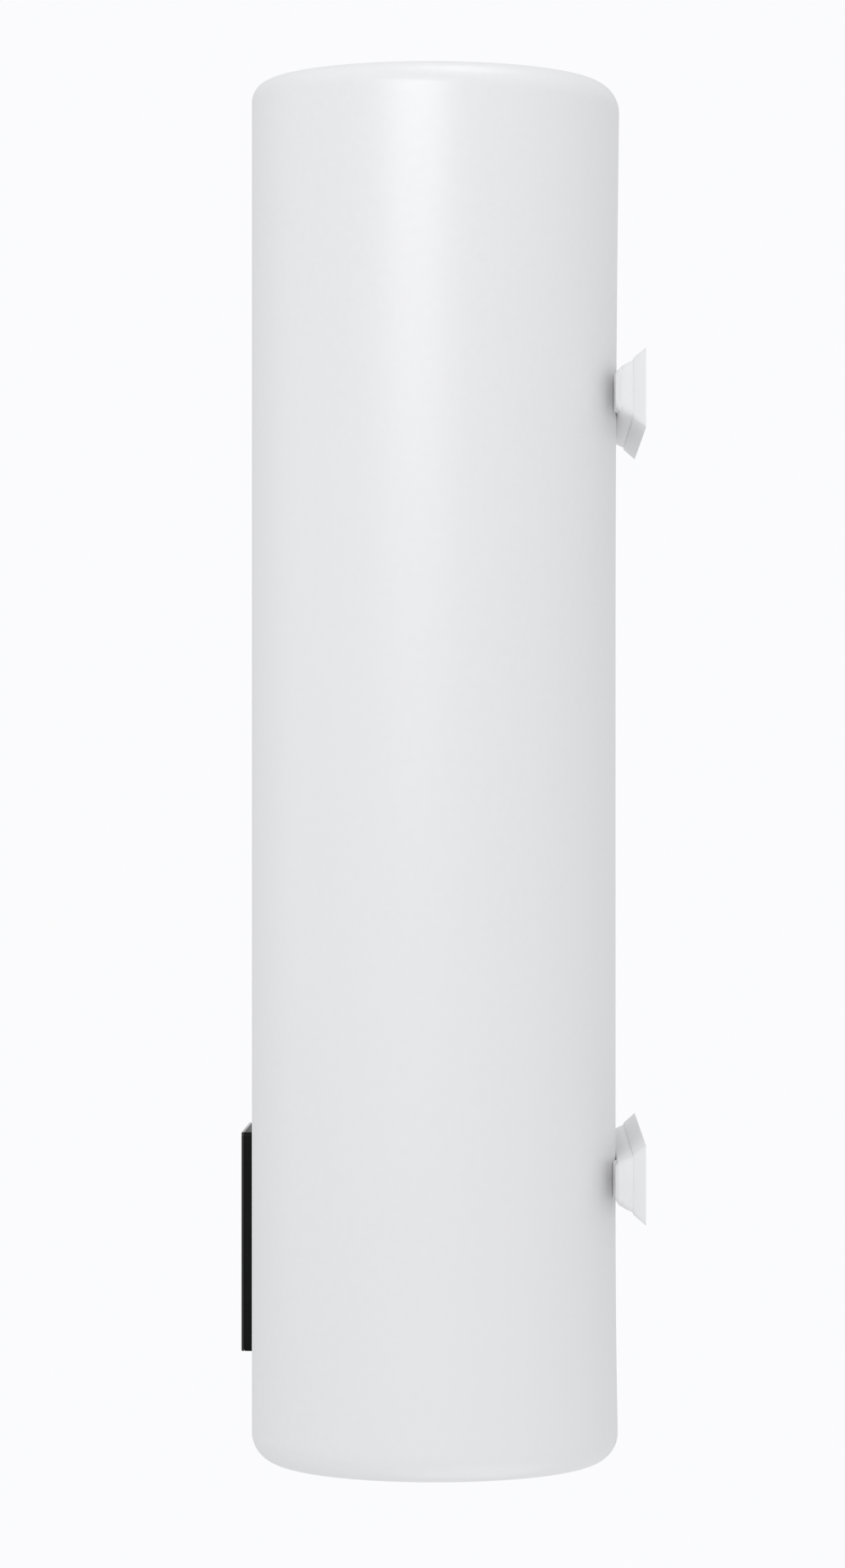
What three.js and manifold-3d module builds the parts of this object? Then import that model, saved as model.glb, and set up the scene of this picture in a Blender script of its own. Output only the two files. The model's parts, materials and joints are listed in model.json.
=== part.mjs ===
// A flat electric storage water heater that hangs on a wall: two enamelled tanks
// side by side in one white steel casing, with a glass control panel low on the front.
//
// Millimetres. The front faces -Y, the wall is at +Y, the width lies along X and +Z is up.
// Heights in the design are measured from the casing's lower end. The last lines move the
// origin to the top of the upper bracket's rim, in the plane of the wall.

import * as THREE from 'three';
import { mergeVertices } from 'three/addons/utils/BufferGeometryUtils.js';
import Module from 'manifold-3d';

const wasm = await Module();
wasm.setup();

// ---- Driving dimensions ----------------------------------------------------------------

const GAP = 0.3; // left between pieces that touch
const OVERLAP = 1; // how far shapes that are joined reach into each other
const OVERSHOOT = 10; // how far a cutting tool runs past the wall that it cuts
const ARC_STEPS = 7; // facets of a quarter of each round end of the casing
const SIDES = [-1, 1];

const CASING = {
  width: 493, depth: 290, height: 1098, sheet: 0.8,
  // the top edge is rounder at the rear than at the front
  topFilletFront: 15, topFilletRear: 24, bottomFillet: 23.5,
  // how far in from the plan's edge the open ends begin
  topOpening: 32, bottomOpening: 25.4,
  // the rear face swells a little towards both ends
  topSwell: 3.1, topSwellFrom: 650, bottomSwell: 2.2, bottomSwellFrom: 200,
  wallLevels: [80, 200, 650, 820, 950],
};
const WALL_Y = 167; // the wall's plane, behind the casing's middle
const TOP_CAP = { thick: 2, flangeInset: 25 };
const BOTTOM = { plate: 3.3, face: 0.2, flangeInset: 23.4 };
const SERVICE = { width: 332, depth: 150, corner: 12, ledge: 10, ledgeTop: 5.5, frame: 4 };
const COVER = { thick: 2.5, edge: 2, screwSeat: 1.5 };
const COVER_SCREW = { x: 161, head: 3.6, rim: 0.3, cone: 2, shaft: 1.6, length: 12, tip: 1.5 };
const SCREW_POST = { radius: 5, top: 17, bore: 2, boreTop: 15 };
const COLLAR = { radius: 24, depth: 27.5, wall: 2.5, flange: 1.5, hole: 1 };
const GLAND_WELL = { radius: 18, depth: 19.5, wall: 2.5 };

const BRACKET = {
  width: 380, height: 62.6, sheet: 2, land: 2.6, rimCorner: 3, baseCorner: 6,
  fromMiddle: 311.2, middle: 537.9, boltX: 60, rimSlope: 0.78,
  // the tray's section: how far it is drawn in from its rim, at a distance behind its base
  // and at a distance before the wall
  baseCurve: [[0, 16], [2.2, 13.2]],
  wallCurve: [[15.8, 11.5], [13, 10.2], [9.8, 7.7]],
};
// both ends of the tray reach further forward, round the curve of the casing
const FOOT = { x: 150, corner: 5, curve: [[25.4, 18.4], [24, 16.2], [19, 13.5]] };
const HOOK_PLATE = { width: 354, height: 36.4, thick: 2.5, fromWall: 9.5, corner: 5 };
const HOOK_SLOT = { x: 105, width: 70, height: 12, corner: 2 };
const LIGHTENING_HOLE = { x: 30, radius: 8.5 };
const BOLT = { radius: 4, clearance: 0.6, headRadius: 6.5, headHeight: 4, reach: 20 };
const STRAP = { width: 300, height: 36, thick: 3, bossRadius: 9 };

const PANEL = { width: 118, height: 177, bottom: 81.6, proud: 11, glass: 2.4, corner: 3 };
const PANEL_BOX = { width: 88, height: 147, depth: 12.7, wall: 2, clearance: 1 };
const DISPLAY_BOARD = { width: 78, height: 136, thick: 1.6, beforeBack: 7.2 };
const CABLE_SLOT = { width: 18, depth: 4, height: 10, beforeBack: 2.6 };
const RIBBON = { width: 14, thick: 0.8, aboveSlot: 8, overBoard: 8, boardEdge: 4, steps: 20 };

const TANK = { x: 114, radius: 112, wall: 1.6, bottom: 78, top: 1066, dome: 30 };
const NECK = { radius: 48, bore: 34, bottom: 64.3 };
const STUD = { circle: 42.5, radius: 2.9, end: 50, count: 4, clearance: 0.4 };
const FLANGE = { radius: 47, thick: 4, top: 62 };
const GASKET = { radius: 36.5, bore: 34.4, thick: 1.7 };
const NUT = { radius: 5.8, bore: 3.7, height: 5 };
const ELEMENT = { x: 4, spread: 34, rod: 4.2, top: 330, end: 50, clearance: 0.6 };
const ANODE = { x: 22, rod: 8, stud: 3, length: 220, end: 52, aboveFlange: 2, clearance: 0.6 };
const THERMOWELL = { x: -22, radius: 4.2, bore: 3, top: 320, roof: 2 };
const THERMOSTAT = { width: 26, depth: 30, bottom: 24, top: 44, stem: 2.5, stemTop: 310 };
const BUTTON = { radius: 3, collar: 4.4, thick: 1.7, proud: 2.5, travel: 1.5, wall: 2, clearance: 0.4 };

const PIPE = { x: 195, thread: 10.48, bore: 7, bottom: 4, top: 100, clearance: 0.4 };
const STANDPIPE = { radius: 7.6, bore: 6, top: 1040 };
const DIFFUSER = { radius: 12, height: 18, roof: 2, window: 6, windowHeight: 8 };
const TRANSFER = {
  x: 54, radius: 6, bore: 4.8, legEnd: 1036, archTop: 1074, bend: 14, clearance: 0.4,
  sleeve: 7, sleeveOverlap: 6, dipEnd: 115,
};
const FOAM = {
  inset: 15, bottom: 70, top: 1093, shoulder: 1074, clearance: 0.5, tankClearance: 3,
  neckDepth: 20, channel: 2, archSpace: 8, pipeSpace: 1,
};

const BOARD = { width: 170, depth: 38, thick: 1.6, y: -98, z: 14, postX: 78, postRadius: 4 };
const RELAY = { width: 28, depth: 12, height: 16, x: 62, y: -106 };
const TERMINALS = { width: 40, depth: 18, height: 16, x: 0, y: 98 };
const GLAND = {
  x: 62, y: 98, radius: 10, mouth: 8, bottom: 5, taperTop: 8, thread: 7.6, stem: 11, bore: 4.5,
};
const LEAD = { supply: 3, element: 2.2, earth: 1.6, fromFace: 0.5, behindBoard: 10 };
// an element lead rises from the board, turns, crosses to the thermostat and runs straight into it
const ELEMENT_LEAD = {
  startX: 46, turnX: 58, turnY: -66, crossY: -46, straightY: -34, aboveMiddle: 1, rise: 11, turnDrop: 2,
};

// the points that the leads run through, between the faces where they end
const DISPLAY_CABLE_BEND = [[0, 104], [0, 80], [2, 56], [10, 34]]; // [behind the slot, height]
const SUPPLY_LEAD_BEND = [[10, 76, 13], [10, 34, 26], [10, -30, 28], [10, -66, 30], [10, -88, 26]];
const EARTH_LEAD_BEND = [[-8, 76, 13], [-30, 60, 30], [-70, 52, 42], [-104, 40, 46], [-114, 36, 50]];

// ---- Materials -------------------------------------------------------------------------

const finish = (color, roughness, metalness = 0) =>
  new THREE.MeshStandardMaterial({ color, roughness, metalness });
const MATERIALS = {
  enamel: () => finish(0xe9e9ea, 0.38),
  whitePlastic: () => finish(0xe4e4e2, 0.5),
  blackPlastic: () => finish(0x151516, 0.4),
  blackGlass: () => finish(0x0b0b0d, 0.08),
  foam: () => finish(0xe6d28a, 0.9),
  tankEnamel: () => finish(0x2d4d66, 0.3),
  steel: () => finish(0xb4b6b8, 0.35, 0.9),
  zinc: () => finish(0xc3c4c0, 0.4, 0.8),
  copper: () => finish(0xb87350, 0.35, 0.9),
  magnesium: () => finish(0x9c9d9b, 0.7, 0.5),
  rubber: () => finish(0x1d1d1e, 0.85),
  blue: () => finish(0x1d5fb4, 0.45),
  red: () => finish(0xc62b22, 0.45),
  board: () => finish(0x1c6b3a, 0.5),
  greyPlastic: () => finish(0x8c8e90, 0.55),
  greyCable: () => finish(0x6d6f72, 0.6),
  earthCable: () => finish(0x9fb52c, 0.6),
};

// ---- Making and joining solids ---------------------------------------------------------

function solidOf(geometry) {
  const bare = geometry.clone();
  bare.deleteAttribute('normal');
  bare.deleteAttribute('uv');
  const merged = mergeVertices(bare, 1e-4);
  return new wasm.Manifold(new wasm.Mesh({
    numProp: 3,
    vertProperties: merged.attributes.position.array,
    triVerts: new Uint32Array(merged.index.array),
  }));
}

function geometryOf(solid) {
  const mesh = solid.getMesh();
  const geometry = new THREE.BufferGeometry();
  geometry.setAttribute('position', new THREE.BufferAttribute(mesh.vertProperties, 3));
  geometry.setIndex(new THREE.BufferAttribute(mesh.triVerts, 1));
  return geometry;
}

function cut(geometry, tools) {
  return geometryOf(tools.reduce((solid, tool) => solid.subtract(solidOf(tool)), solidOf(geometry)));
}

function join(geometries) {
  return geometryOf(geometries.map(solidOf).reduce((whole, solid) => whole.add(solid)));
}

function prism(shape, bottom, top, arcSteps = 2) {
  const options = { depth: top - bottom, bevelEnabled: false, curveSegments: arcSteps };
  return new THREE.ExtrudeGeometry(shape, options).translate(0, 0, bottom);
}

function block(width, depth, height, x, y, z) {
  return new THREE.BoxGeometry(width, depth, height).translate(x, y, z);
}

// an upright cylinder
function rod(radius, bottom, top, x = 0, y = 0, sides = 16) {
  return new THREE.CylinderGeometry(radius, radius, top - bottom, sides)
    .rotateX(Math.PI / 2).translate(x, y, (bottom + top) / 2);
}

// a cylinder that lies along Y
function bar(radius, front, back, x, z, sides = 16) {
  return new THREE.CylinderGeometry(radius, radius, back - front, sides)
    .translate(x, (front + back) / 2, z);
}

// points given as [radius, height], turned about the Z axis
function turned(profile, sides = 20) {
  const points = profile.map(([radius, height]) => new THREE.Vector2(radius, height));
  return new THREE.LatheGeometry(points, sides).rotateX(Math.PI / 2);
}

// a straight pipe with a square-cut ring at each end
function pipe(radius, bore, bottom, top, sides = 16) {
  return turned([[bore, bottom], [radius, bottom], [radius, top], [bore, top], [bore, bottom]], sides);
}

function circle(radius, sides) {
  const shape = new THREE.Shape();
  for (let i = 0; i < sides; i += 1) {
    const angle = (i / sides) * 2 * Math.PI;
    shape[i ? 'lineTo' : 'moveTo'](radius * Math.cos(angle), radius * Math.sin(angle));
  }
  shape.closePath();
  return shape;
}

function along(shape, path, steps) {
  return new THREE.ExtrudeGeometry(shape, { steps, bevelEnabled: false, extrudePath: path });
}

function lead(radius, points, steps = 12) {
  const path = new THREE.CatmullRomCurve3(points.map((point) => new THREE.Vector3(...point)));
  return along(circle(radius, 6), path, steps);
}

// a rectangle with round corners, about the origin
function roundedRectangle(width, height, radius) {
  const x = width / 2 - radius;
  const y = height / 2 - radius;
  const shape = new THREE.Shape();
  shape.absarc(x, y, radius, 0, Math.PI / 2);
  shape.absarc(-x, y, radius, Math.PI / 2, Math.PI);
  shape.absarc(-x, -y, radius, Math.PI, 1.5 * Math.PI);
  shape.absarc(x, -y, radius, 1.5 * Math.PI, 2 * Math.PI);
  return shape;
}

// the casing's plan, drawn in by an inset: two half circles joined by straight sides
function stadium(inset) {
  const radius = CASING.depth / 2 - inset;
  const x = (CASING.width - CASING.depth) / 2;
  const shape = new THREE.Shape();
  shape.absarc(x, 0, radius, -Math.PI / 2, Math.PI / 2);
  shape.absarc(-x, 0, radius, Math.PI / 2, 1.5 * Math.PI);
  return shape;
}

// rings of equal point count, skinned into one surface; flat convex ends close it unless it
// closes on itself
function loft(rings, closedOnItself) {
  const count = rings[0].length;
  const positions = rings.flat().flatMap((point) => [point.x, point.y, point.z]);
  const indices = [];
  const last = closedOnItself ? rings.length : rings.length - 1;
  for (let i = 0; i < last; i += 1) {
    const next = (i + 1) % rings.length;
    for (let j = 0; j < count; j += 1) {
      const k = (j + 1) % count;
      const corners = [i * count + j, i * count + k, next * count + k, next * count + j];
      indices.push(corners[0], corners[1], corners[2], corners[0], corners[2], corners[3]);
    }
  }
  if (!closedOnItself) {
    const end = last * count;
    for (let j = 1; j < count - 1; j += 1) {
      indices.push(0, j + 1, j);
      indices.push(end, end + j, end + j + 1);
    }
  }
  const geometry = new THREE.BufferGeometry();
  geometry.setAttribute('position', new THREE.Float32BufferAttribute(positions, 3));
  geometry.setIndex(indices);
  return geometry;
}

// ---- The scene graph -------------------------------------------------------------------

function add(group, name, material, geometry) {
  const mesh = new THREE.Mesh(geometry, MATERIALS[material]());
  mesh.name = name;
  group.add(mesh);
}

// ---- Casing ----------------------------------------------------------------------------

function rearSwell(height) {
  const up = Math.max(0, (height - CASING.topSwellFrom) / (CASING.height - CASING.topSwellFrom));
  const down = Math.max(0, (CASING.bottomSwellFrom - height) / CASING.bottomSwellFrom);
  return CASING.topSwell * up * up + CASING.bottomSwell * down * down;
}

// a quarter circle in the [inset, height] section, from the flat end to the upright wall
function filletPoints(centreInset, centreHeight, radius, direction, steps) {
  return Array.from({ length: steps + 1 }, (_, i) => {
    const angle = (i / steps) * (Math.PI / 2);
    const inset = centreInset - radius * Math.sin(angle);
    return [inset, centreHeight + direction * radius * Math.cos(angle)];
  });
}

// one face of the sheet, from the lower opening up the wall to the upper one, at a place where
// the top edge has the given fillet
function casingFace(sheet, steps, topFillet) {
  const { height, bottomFillet, topOpening, bottomOpening } = CASING;
  const bottom = filletPoints(bottomFillet, bottomFillet, bottomFillet - sheet, -1, steps);
  const top = filletPoints(topFillet, height - topFillet, topFillet - sheet, 1, steps).reverse();
  const wall = CASING.wallLevels.map((level) => [sheet, level]);
  return [[bottomOpening, sheet], ...bottom, ...wall, ...top, [topOpening, height - sheet]];
}

function casingSection({ y }) {
  const back = (1 + y / (CASING.depth / 2)) / 2;
  const topFillet = THREE.MathUtils.lerp(CASING.topFilletFront, CASING.topFilletRear, back);
  return [...casingFace(0, 4, topFillet), ...casingFace(CASING.sheet, 2, topFillet).reverse()];
}

function casingShell() {
  const sections = stadium(0).getPoints(ARC_STEPS).map(casingSection);
  const rings = sections[0].map((_, level) => sections.map((section, place) => {
    const [inset, height] = section[level];
    const point = stadium(inset).getPoints(ARC_STEPS)[place];
    const back = Math.max(0, point.y) / (CASING.depth / 2 - inset);
    return new THREE.Vector3(point.x, point.y + back * rearSwell(height), height);
  }));
  const { width: boxWidth, height: boxHeight, clearance } = PANEL_BOX;
  const window = block(boxWidth + 2 * clearance, 2 * OVERSHOOT, boxHeight + 2 * clearance,
    0, -CASING.depth / 2, PANEL.bottom + PANEL.height / 2);
  const rear = CASING.depth / 2;
  const boltHoles = bracketHeights().flatMap((z) => SIDES.map((side) =>
    bar(BOLT.radius + 1, rear - OVERSHOOT, rear + OVERSHOOT, side * BRACKET.boltX, z)));
  return cut(loft(rings, true), [window, ...boltHoles]);
}

function topCap() {
  const { thick, flangeInset } = TOP_CAP;
  const top = CASING.height - GAP;
  const bottom = CASING.height - CASING.sheet - GAP - thick;
  const plate = prism(stadium(CASING.topOpening + GAP), bottom, top, ARC_STEPS);
  const flange = prism(stadium(flangeInset), bottom, bottom + thick, ARC_STEPS);
  return join([plate, flange]);
}

// ---- Bottom cap, with its collars and the service opening ---------------------------------

function servicePrism(grow, corner, bottom, top) {
  const shape = roundedRectangle(SERVICE.width + 2 * grow, SERVICE.depth + 2 * grow, corner);
  return prism(shape, bottom, top);
}

function bottomCap() {
  const { face, plate: thick, flangeInset } = BOTTOM;
  const { corner, ledge, ledgeTop, frame } = SERVICE;
  const top = face + thick;
  const seat = face + COVER.thick + GAP;
  const below = face - OVERSHOOT;
  const body = join([
    prism(stadium(CASING.bottomOpening + GAP), face, top, ARC_STEPS),
    prism(stadium(flangeInset), CASING.sheet + GAP, top, ARC_STEPS),
    servicePrism(frame, corner + frame, face, ledgeTop),
    ...SIDES.map((side) => rod(BOARD.postRadius, face, BOARD.z - GAP, side * BOARD.postX, BOARD.y)),
  ]);
  const { radius: collar, flange } = COLLAR;
  const open = cut(body, [
    servicePrism(0, corner, below, seat),
    servicePrism(-ledge, corner, below, ledgeTop + OVERSHOOT),
    ...SIDES.map((side) =>
      rod(collar + flange + GAP, below, top + OVERSHOOT, side * PIPE.x, 0, 18)),
    rod(GLAND_WELL.radius + GAP, below, top + OVERSHOOT, GLAND.x, GLAND.y, 14),
  ]);
  const posts = SIDES.map((side) =>
    rod(SCREW_POST.radius, seat, SCREW_POST.top, side * COVER_SCREW.x, 0));
  const bores = SIDES.map((side) =>
    rod(SCREW_POST.bore, below, SCREW_POST.boreTop, side * COVER_SCREW.x, 0, 12));
  return cut(join([open, ...posts]), bores);
}

// a cup that opens downward, with a flange round its mouth and a hole in its roof
function cup({ radius, depth, wall }, flange, hole, sides) {
  const { face, plate: thick } = BOTTOM;
  const roof = depth + wall;
  return turned([[radius - wall, face], [radius + flange, face], [radius + flange, face + thick],
    [radius, face + thick], [radius, roof], [hole, roof], [hole, depth], [radius - wall, depth],
    [radius - wall, face]], sides);
}

function serviceCover() {
  const { face } = BOTTOM;
  const { thick, edge, screwSeat } = COVER;
  const { x, head, shaft } = COVER_SCREW;
  const plate = servicePrism(-edge, SERVICE.corner - edge, face, face + thick);
  const wideEnd = head + screwSeat;
  const holes = SIDES.flatMap((side) => [
    rod(SCREW_POST.bore, face - OVERLAP, face + thick + OVERLAP, side * x, 0, 12),
    turned([[0, face - OVERLAP], [wideEnd, face - OVERLAP], [shaft + GAP, face + thick],
      [0, face + thick]]).translate(side * x, 0, 0),
  ]);
  return cut(plate, holes);
}

function coverScrew() {
  const { head, rim, cone, shaft, length, tip } = COVER_SCREW;
  const { face } = BOTTOM;
  return turned([[0, face], [head, face], [head, face + rim], [shaft, face + rim + cone],
    [shaft, face + length], [0, face + length + tip]], 12);
}

// ---- Wall brackets -----------------------------------------------------------------------

function bracketHeights() {
  return [1, -1].map((side) => BRACKET.middle + side * BRACKET.fromMiddle);
}

// outlines of the pressed tray, from its base to its rim; the hollow in it is the same shape
// with a wider inset, a lifted base and an end that runs past the wall
function trayRings(baseY, extraInset, baseLift, overshoot) {
  const { baseCurve, wallCurve, rimSlope, baseCorner, rimCorner } = BRACKET;
  const levels = [
    ...baseCurve.map(([behind, inset]) => [baseY + baseLift + behind, inset]),
    ...wallCurve.map(([before, inset]) => [WALL_Y - before, inset]),
    [WALL_Y + overshoot, -rimSlope * overshoot],
  ];
  return levels.map(([y, inset], i) => {
    const drawnIn = 2 * (inset + extraInset);
    const corner = THREE.MathUtils.lerp(baseCorner, rimCorner, i / (levels.length - 1));
    return roundedRectangle(BRACKET.width - drawnIn, BRACKET.height - drawnIn, corner)
      .getPoints(1).map((point) => new THREE.Vector3(-point.x, y, point.y));
  });
}

// outlines of the foot at the tray's right end; its hollow is drawn in and lifted
function footRings(extraInset, lift) {
  return FOOT.curve.map(([before, inset]) => {
    const low = FOOT.x + extraInset;
    const high = BRACKET.width / 2 - inset - extraInset;
    const height = BRACKET.height - 2 * (inset + extraInset);
    return roundedRectangle(high - low, height, FOOT.corner).getPoints(1).map((point) =>
      new THREE.Vector3(-point.x + (low + high) / 2, WALL_Y - before + lift, point.y));
  });
}

function bothEnds(geometry) {
  return [geometry, geometry.clone().rotateZ(Math.PI).rotateX(Math.PI)];
}

function bracketTray(baseY) {
  const feet = bothEnds(loft(footRings(0, 0), false));
  const footHollows = bothEnds(loft(footRings(BRACKET.sheet, BRACKET.sheet), false));
  const tray = loft(trayRings(baseY, 0, 0, 0), false);
  const hollow = loft(trayRings(baseY, BRACKET.land, BRACKET.sheet, 3 * OVERLAP), false);
  const holes = SIDES.map((side) => bar(BOLT.radius + BOLT.clearance, baseY - OVERSHOOT,
    baseY + OVERSHOOT, side * BRACKET.boltX, 0));
  return cut(join([tray, ...feet]), [hollow, ...footHollows, ...holes]);
}

function hookPlate() {
  const { width, height, thick, fromWall, corner } = HOOK_PLATE;
  const slots = SIDES.map((side) => prism(
    roundedRectangle(HOOK_SLOT.width, HOOK_SLOT.height, HOOK_SLOT.corner),
    -OVERLAP, thick + OVERLAP, 1).translate(side * HOOK_SLOT.x, 0, 0));
  const holes = SIDES.map((side) =>
    rod(LIGHTENING_HOLE.radius, -OVERLAP, thick + OVERLAP, side * LIGHTENING_HOLE.x, 0));
  return cut(prism(roundedRectangle(width, height, corner), 0, thick, 1), [...slots, ...holes])
    .rotateX(-Math.PI / 2).translate(0, WALL_Y - fromWall - thick, 0);
}

function bracketBolt(baseY) {
  const { radius, headRadius, headHeight, reach } = BOLT;
  const seat = baseY + BRACKET.sheet + GAP;
  return join([
    bar(headRadius, seat, seat + headHeight, 0, 0, 6),
    bar(radius, seat - reach - BRACKET.sheet, seat + OVERLAP, 0, 0, 12),
  ]);
}

// a flat bar across the backs of both tanks, with two threaded bosses that the bolts enter
function tankStrap() {
  const front = TANK.radius + GAP;
  const bossEnd = CASING.depth / 2 - CASING.sheet - 2 * GAP;
  const bosses = SIDES.map((side) =>
    bar(STRAP.bossRadius, front + OVERLAP, bossEnd, side * BRACKET.boltX, 0));
  const holes = SIDES.map((side) => bar(BOLT.radius + BOLT.clearance, front - OVERLAP,
    bossEnd + OVERLAP, side * BRACKET.boltX, 0));
  const flat = block(STRAP.width, STRAP.thick, STRAP.height, 0, front + STRAP.thick / 2, 0);
  return cut(join([flat, ...bosses]), holes);
}

function addBracket(group, name, height) {
  const baseY = CASING.depth / 2 + rearSwell(height + BRACKET.height / 2) + GAP;
  const level = new THREE.Group();
  level.position.z = height;
  group.add(level);
  add(level, `${name}_bracket`, 'enamel', bracketTray(baseY));
  add(level, `${name}_hook_plate`, 'zinc', hookPlate());
  add(level, `${name}_tank_strap`, 'steel', tankStrap());
  for (const [side, x] of [['left', -BRACKET.boltX], ['right', BRACKET.boltX]]) {
    add(level, `${name}_bracket_bolt_${side}`, 'zinc', bracketBolt(baseY).translate(x, 0, 0));
  }
}

// ---- Control panel -------------------------------------------------------------------------

function panelBoxBack() {
  return -CASING.depth / 2 - GAP + PANEL_BOX.depth;
}

function panelHousing(rim) {
  const { width, height, wall } = PANEL_BOX;
  const back = -CASING.depth / 2 - GAP;
  const boxBack = panelBoxBack();
  const boxFront = back - 2 * OVERLAP;
  const cavityFront = rim - 2 * OVERLAP;
  const cavityBack = boxBack - wall;
  const frame = prism(roundedRectangle(PANEL.width, PANEL.height, PANEL.corner), -back, -rim)
    .rotateX(Math.PI / 2);
  const box = block(width, boxBack - boxFront, height, 0, (boxBack + boxFront) / 2, 0);
  const cavity = block(width - 2 * wall, cavityBack - cavityFront, height - 2 * wall,
    0, (cavityBack + cavityFront) / 2, 0);
  const cableSlot = block(CABLE_SLOT.width, CABLE_SLOT.depth, CABLE_SLOT.height,
    0, cavityBack - CABLE_SLOT.beforeBack, -height / 2);
  return cut(join([frame, box]), [cavity, cableSlot]);
}

function addPanel(group) {
  const front = -CASING.depth / 2 - PANEL.proud;
  const rim = front + PANEL.glass + GAP;
  const { width, height, thick, beforeBack } = DISPLAY_BOARD;
  const panel = new THREE.Group();
  panel.position.z = PANEL.bottom + PANEL.height / 2;
  group.add(panel);
  add(panel, 'panel_housing', 'blackPlastic', panelHousing(rim));
  add(panel, 'panel_glass', 'blackGlass',
    prism(roundedRectangle(PANEL.width, PANEL.height, PANEL.corner), -rim + GAP, -front)
      .rotateX(Math.PI / 2));
  add(panel, 'display_board', 'board',
    block(width, thick, height, 0, panelBoxBack() - PANEL_BOX.wall - beforeBack, 0));
}

// a flat ribbon from inside the panel's box, through its slot, down to the power board
function displayCable() {
  const y = panelBoxBack() - PANEL_BOX.wall - CABLE_SLOT.beforeBack;
  const slotHeight = PANEL.bottom + (PANEL.height - PANEL_BOX.height) / 2;
  const boardTop = BOARD.z + BOARD.thick;
  const points = [[0, y, slotHeight + 2 * CABLE_SLOT.height + RIBBON.aboveSlot],
    ...DISPLAY_CABLE_BEND.map(([behind, height]) => [0, y + behind, height]),
    [0, BOARD.y - RIBBON.overBoard, boardTop + RIBBON.overBoard],
    [0, BOARD.y - RIBBON.boardEdge, boardTop + GAP]];
  const path = new THREE.CatmullRomCurve3(points.map((point) => new THREE.Vector3(...point)));
  const [halfThick, halfWidth] = [RIBBON.thick / 2, RIBBON.width / 2];
  const ribbon = new THREE.Shape([[-halfThick, -halfWidth], [halfThick, -halfWidth],
    [halfThick, halfWidth], [-halfThick, halfWidth]].map(([a, b]) => new THREE.Vector2(a, b)));
  return along(ribbon, path, RIBBON.steps);
}

// ---- Tanks, pipes and insulation -------------------------------------------------------------

// the outline from the top of the dome down to a radius on the lower dome, as [radius, height]
function tankOutline(grow, lowestRadius) {
  const radius = TANK.radius + grow;
  const dome = TANK.dome + grow;
  const upper = TANK.top - TANK.dome;
  const lower = TANK.bottom + TANK.dome;
  const steps = 4;
  const curve = (from, to) => Array.from({ length: steps + 1 }, (_, i) => from + (i / steps) * (to - from));
  const end = Math.asin(lowestRadius / radius);
  const top = curve(0, Math.PI / 2).map((a) => [radius * Math.sin(a), upper + dome * Math.cos(a)]);
  const bottom = curve(Math.PI / 2, end).map((a) => [radius * Math.sin(a), lower - dome * Math.cos(a)]);
  return [...top, ...bottom];
}

function tank(side) {
  const outer = tankOutline(0, NECK.radius);
  const inner = tankOutline(-TANK.wall, NECK.bore);
  const neck = [[NECK.radius, NECK.bottom], [NECK.bore, NECK.bottom]];
  const shell = turned([...outer, ...neck, ...inner.reverse()].reverse());
  const studs = nutPlaces().map(([x, y]) =>
    rod(STUD.radius, STUD.end, NECK.bottom + 5 * OVERLAP, x, y, 8));
  const holes = [
    rod(PIPE.thread + PIPE.clearance, TANK.bottom - OVERSHOOT, TANK.bottom + 4 * OVERSHOOT,
      side * (PIPE.x - TANK.x), 0),
    rod(TRANSFER.radius + TRANSFER.clearance, TANK.top - 4 * OVERSHOOT, TANK.top + OVERSHOOT,
      side * (TRANSFER.x - TANK.x), 0),
  ];
  return cut(join([shell, ...studs]), holes);
}

function tankSpace(side) {
  const neck = NECK.radius + FOAM.tankClearance;
  const neckEnd = NECK.bottom - FOAM.neckDepth;
  const outline = tankOutline(FOAM.tankClearance, neck);
  const envelope = turned([...outline, [neck, neckEnd], [0, neckEnd]].reverse(), 16);
  return envelope.translate(side * TANK.x, 0, 0);
}

function panelSpace() {
  const { bottom, channel } = FOAM;
  const top = PANEL.bottom + (PANEL.height + PANEL_BOX.height) / 2 + channel;
  const low = bottom - OVERSHOOT;
  const front = -CASING.depth / 2 - OVERSHOOT;
  const back = -CASING.depth / 2 + PANEL_BOX.depth + channel;
  return block(PANEL_BOX.width + 2 * channel, back - front, top - low,
    0, (back + front) / 2, (top + low) / 2);
}

// room in the foam for a tank strap and its two bosses
function strapSpaces(height) {
  const front = TANK.radius - OVERLAP;
  return [
    block(STRAP.width + 2 * OVERLAP, STRAP.thick + 2 * OVERLAP, STRAP.height + OVERLAP,
      0, front + (STRAP.thick + 3 * OVERLAP) / 2, height),
    ...SIDES.map((side) => bar(STRAP.bossRadius + OVERLAP, front, CASING.depth / 2 + OVERSHOOT,
      side * BRACKET.boltX, height)),
  ];
}

function foamInsulation() {
  const { inset, bottom, top, shoulder, clearance, archSpace, pipeSpace } = FOAM;
  const body = join([
    prism(stadium(CASING.sheet + clearance), bottom, shoulder, ARC_STEPS),
    prism(stadium(inset), bottom, top, ARC_STEPS),
  ]);
  const archLow = TRANSFER.legEnd - OVERLAP;
  const archHigh = TRANSFER.archTop + archSpace;
  const arch = block(2 * (TRANSFER.x + archSpace), 2 * (TRANSFER.radius + OVERLAP), archHigh - archLow,
    0, 0, (archHigh + archLow) / 2);
  const pipes = SIDES.map((side) => rod(PIPE.thread + pipeSpace, bottom - OVERSHOOT,
    bottom + 3 * OVERSHOOT, side * PIPE.x, 0, 10));
  const straps = bracketHeights().flatMap(strapSpaces);
  return cut(body, [...SIDES.map(tankSpace), panelSpace(), ...straps, arch, ...pipes]);
}

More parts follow.
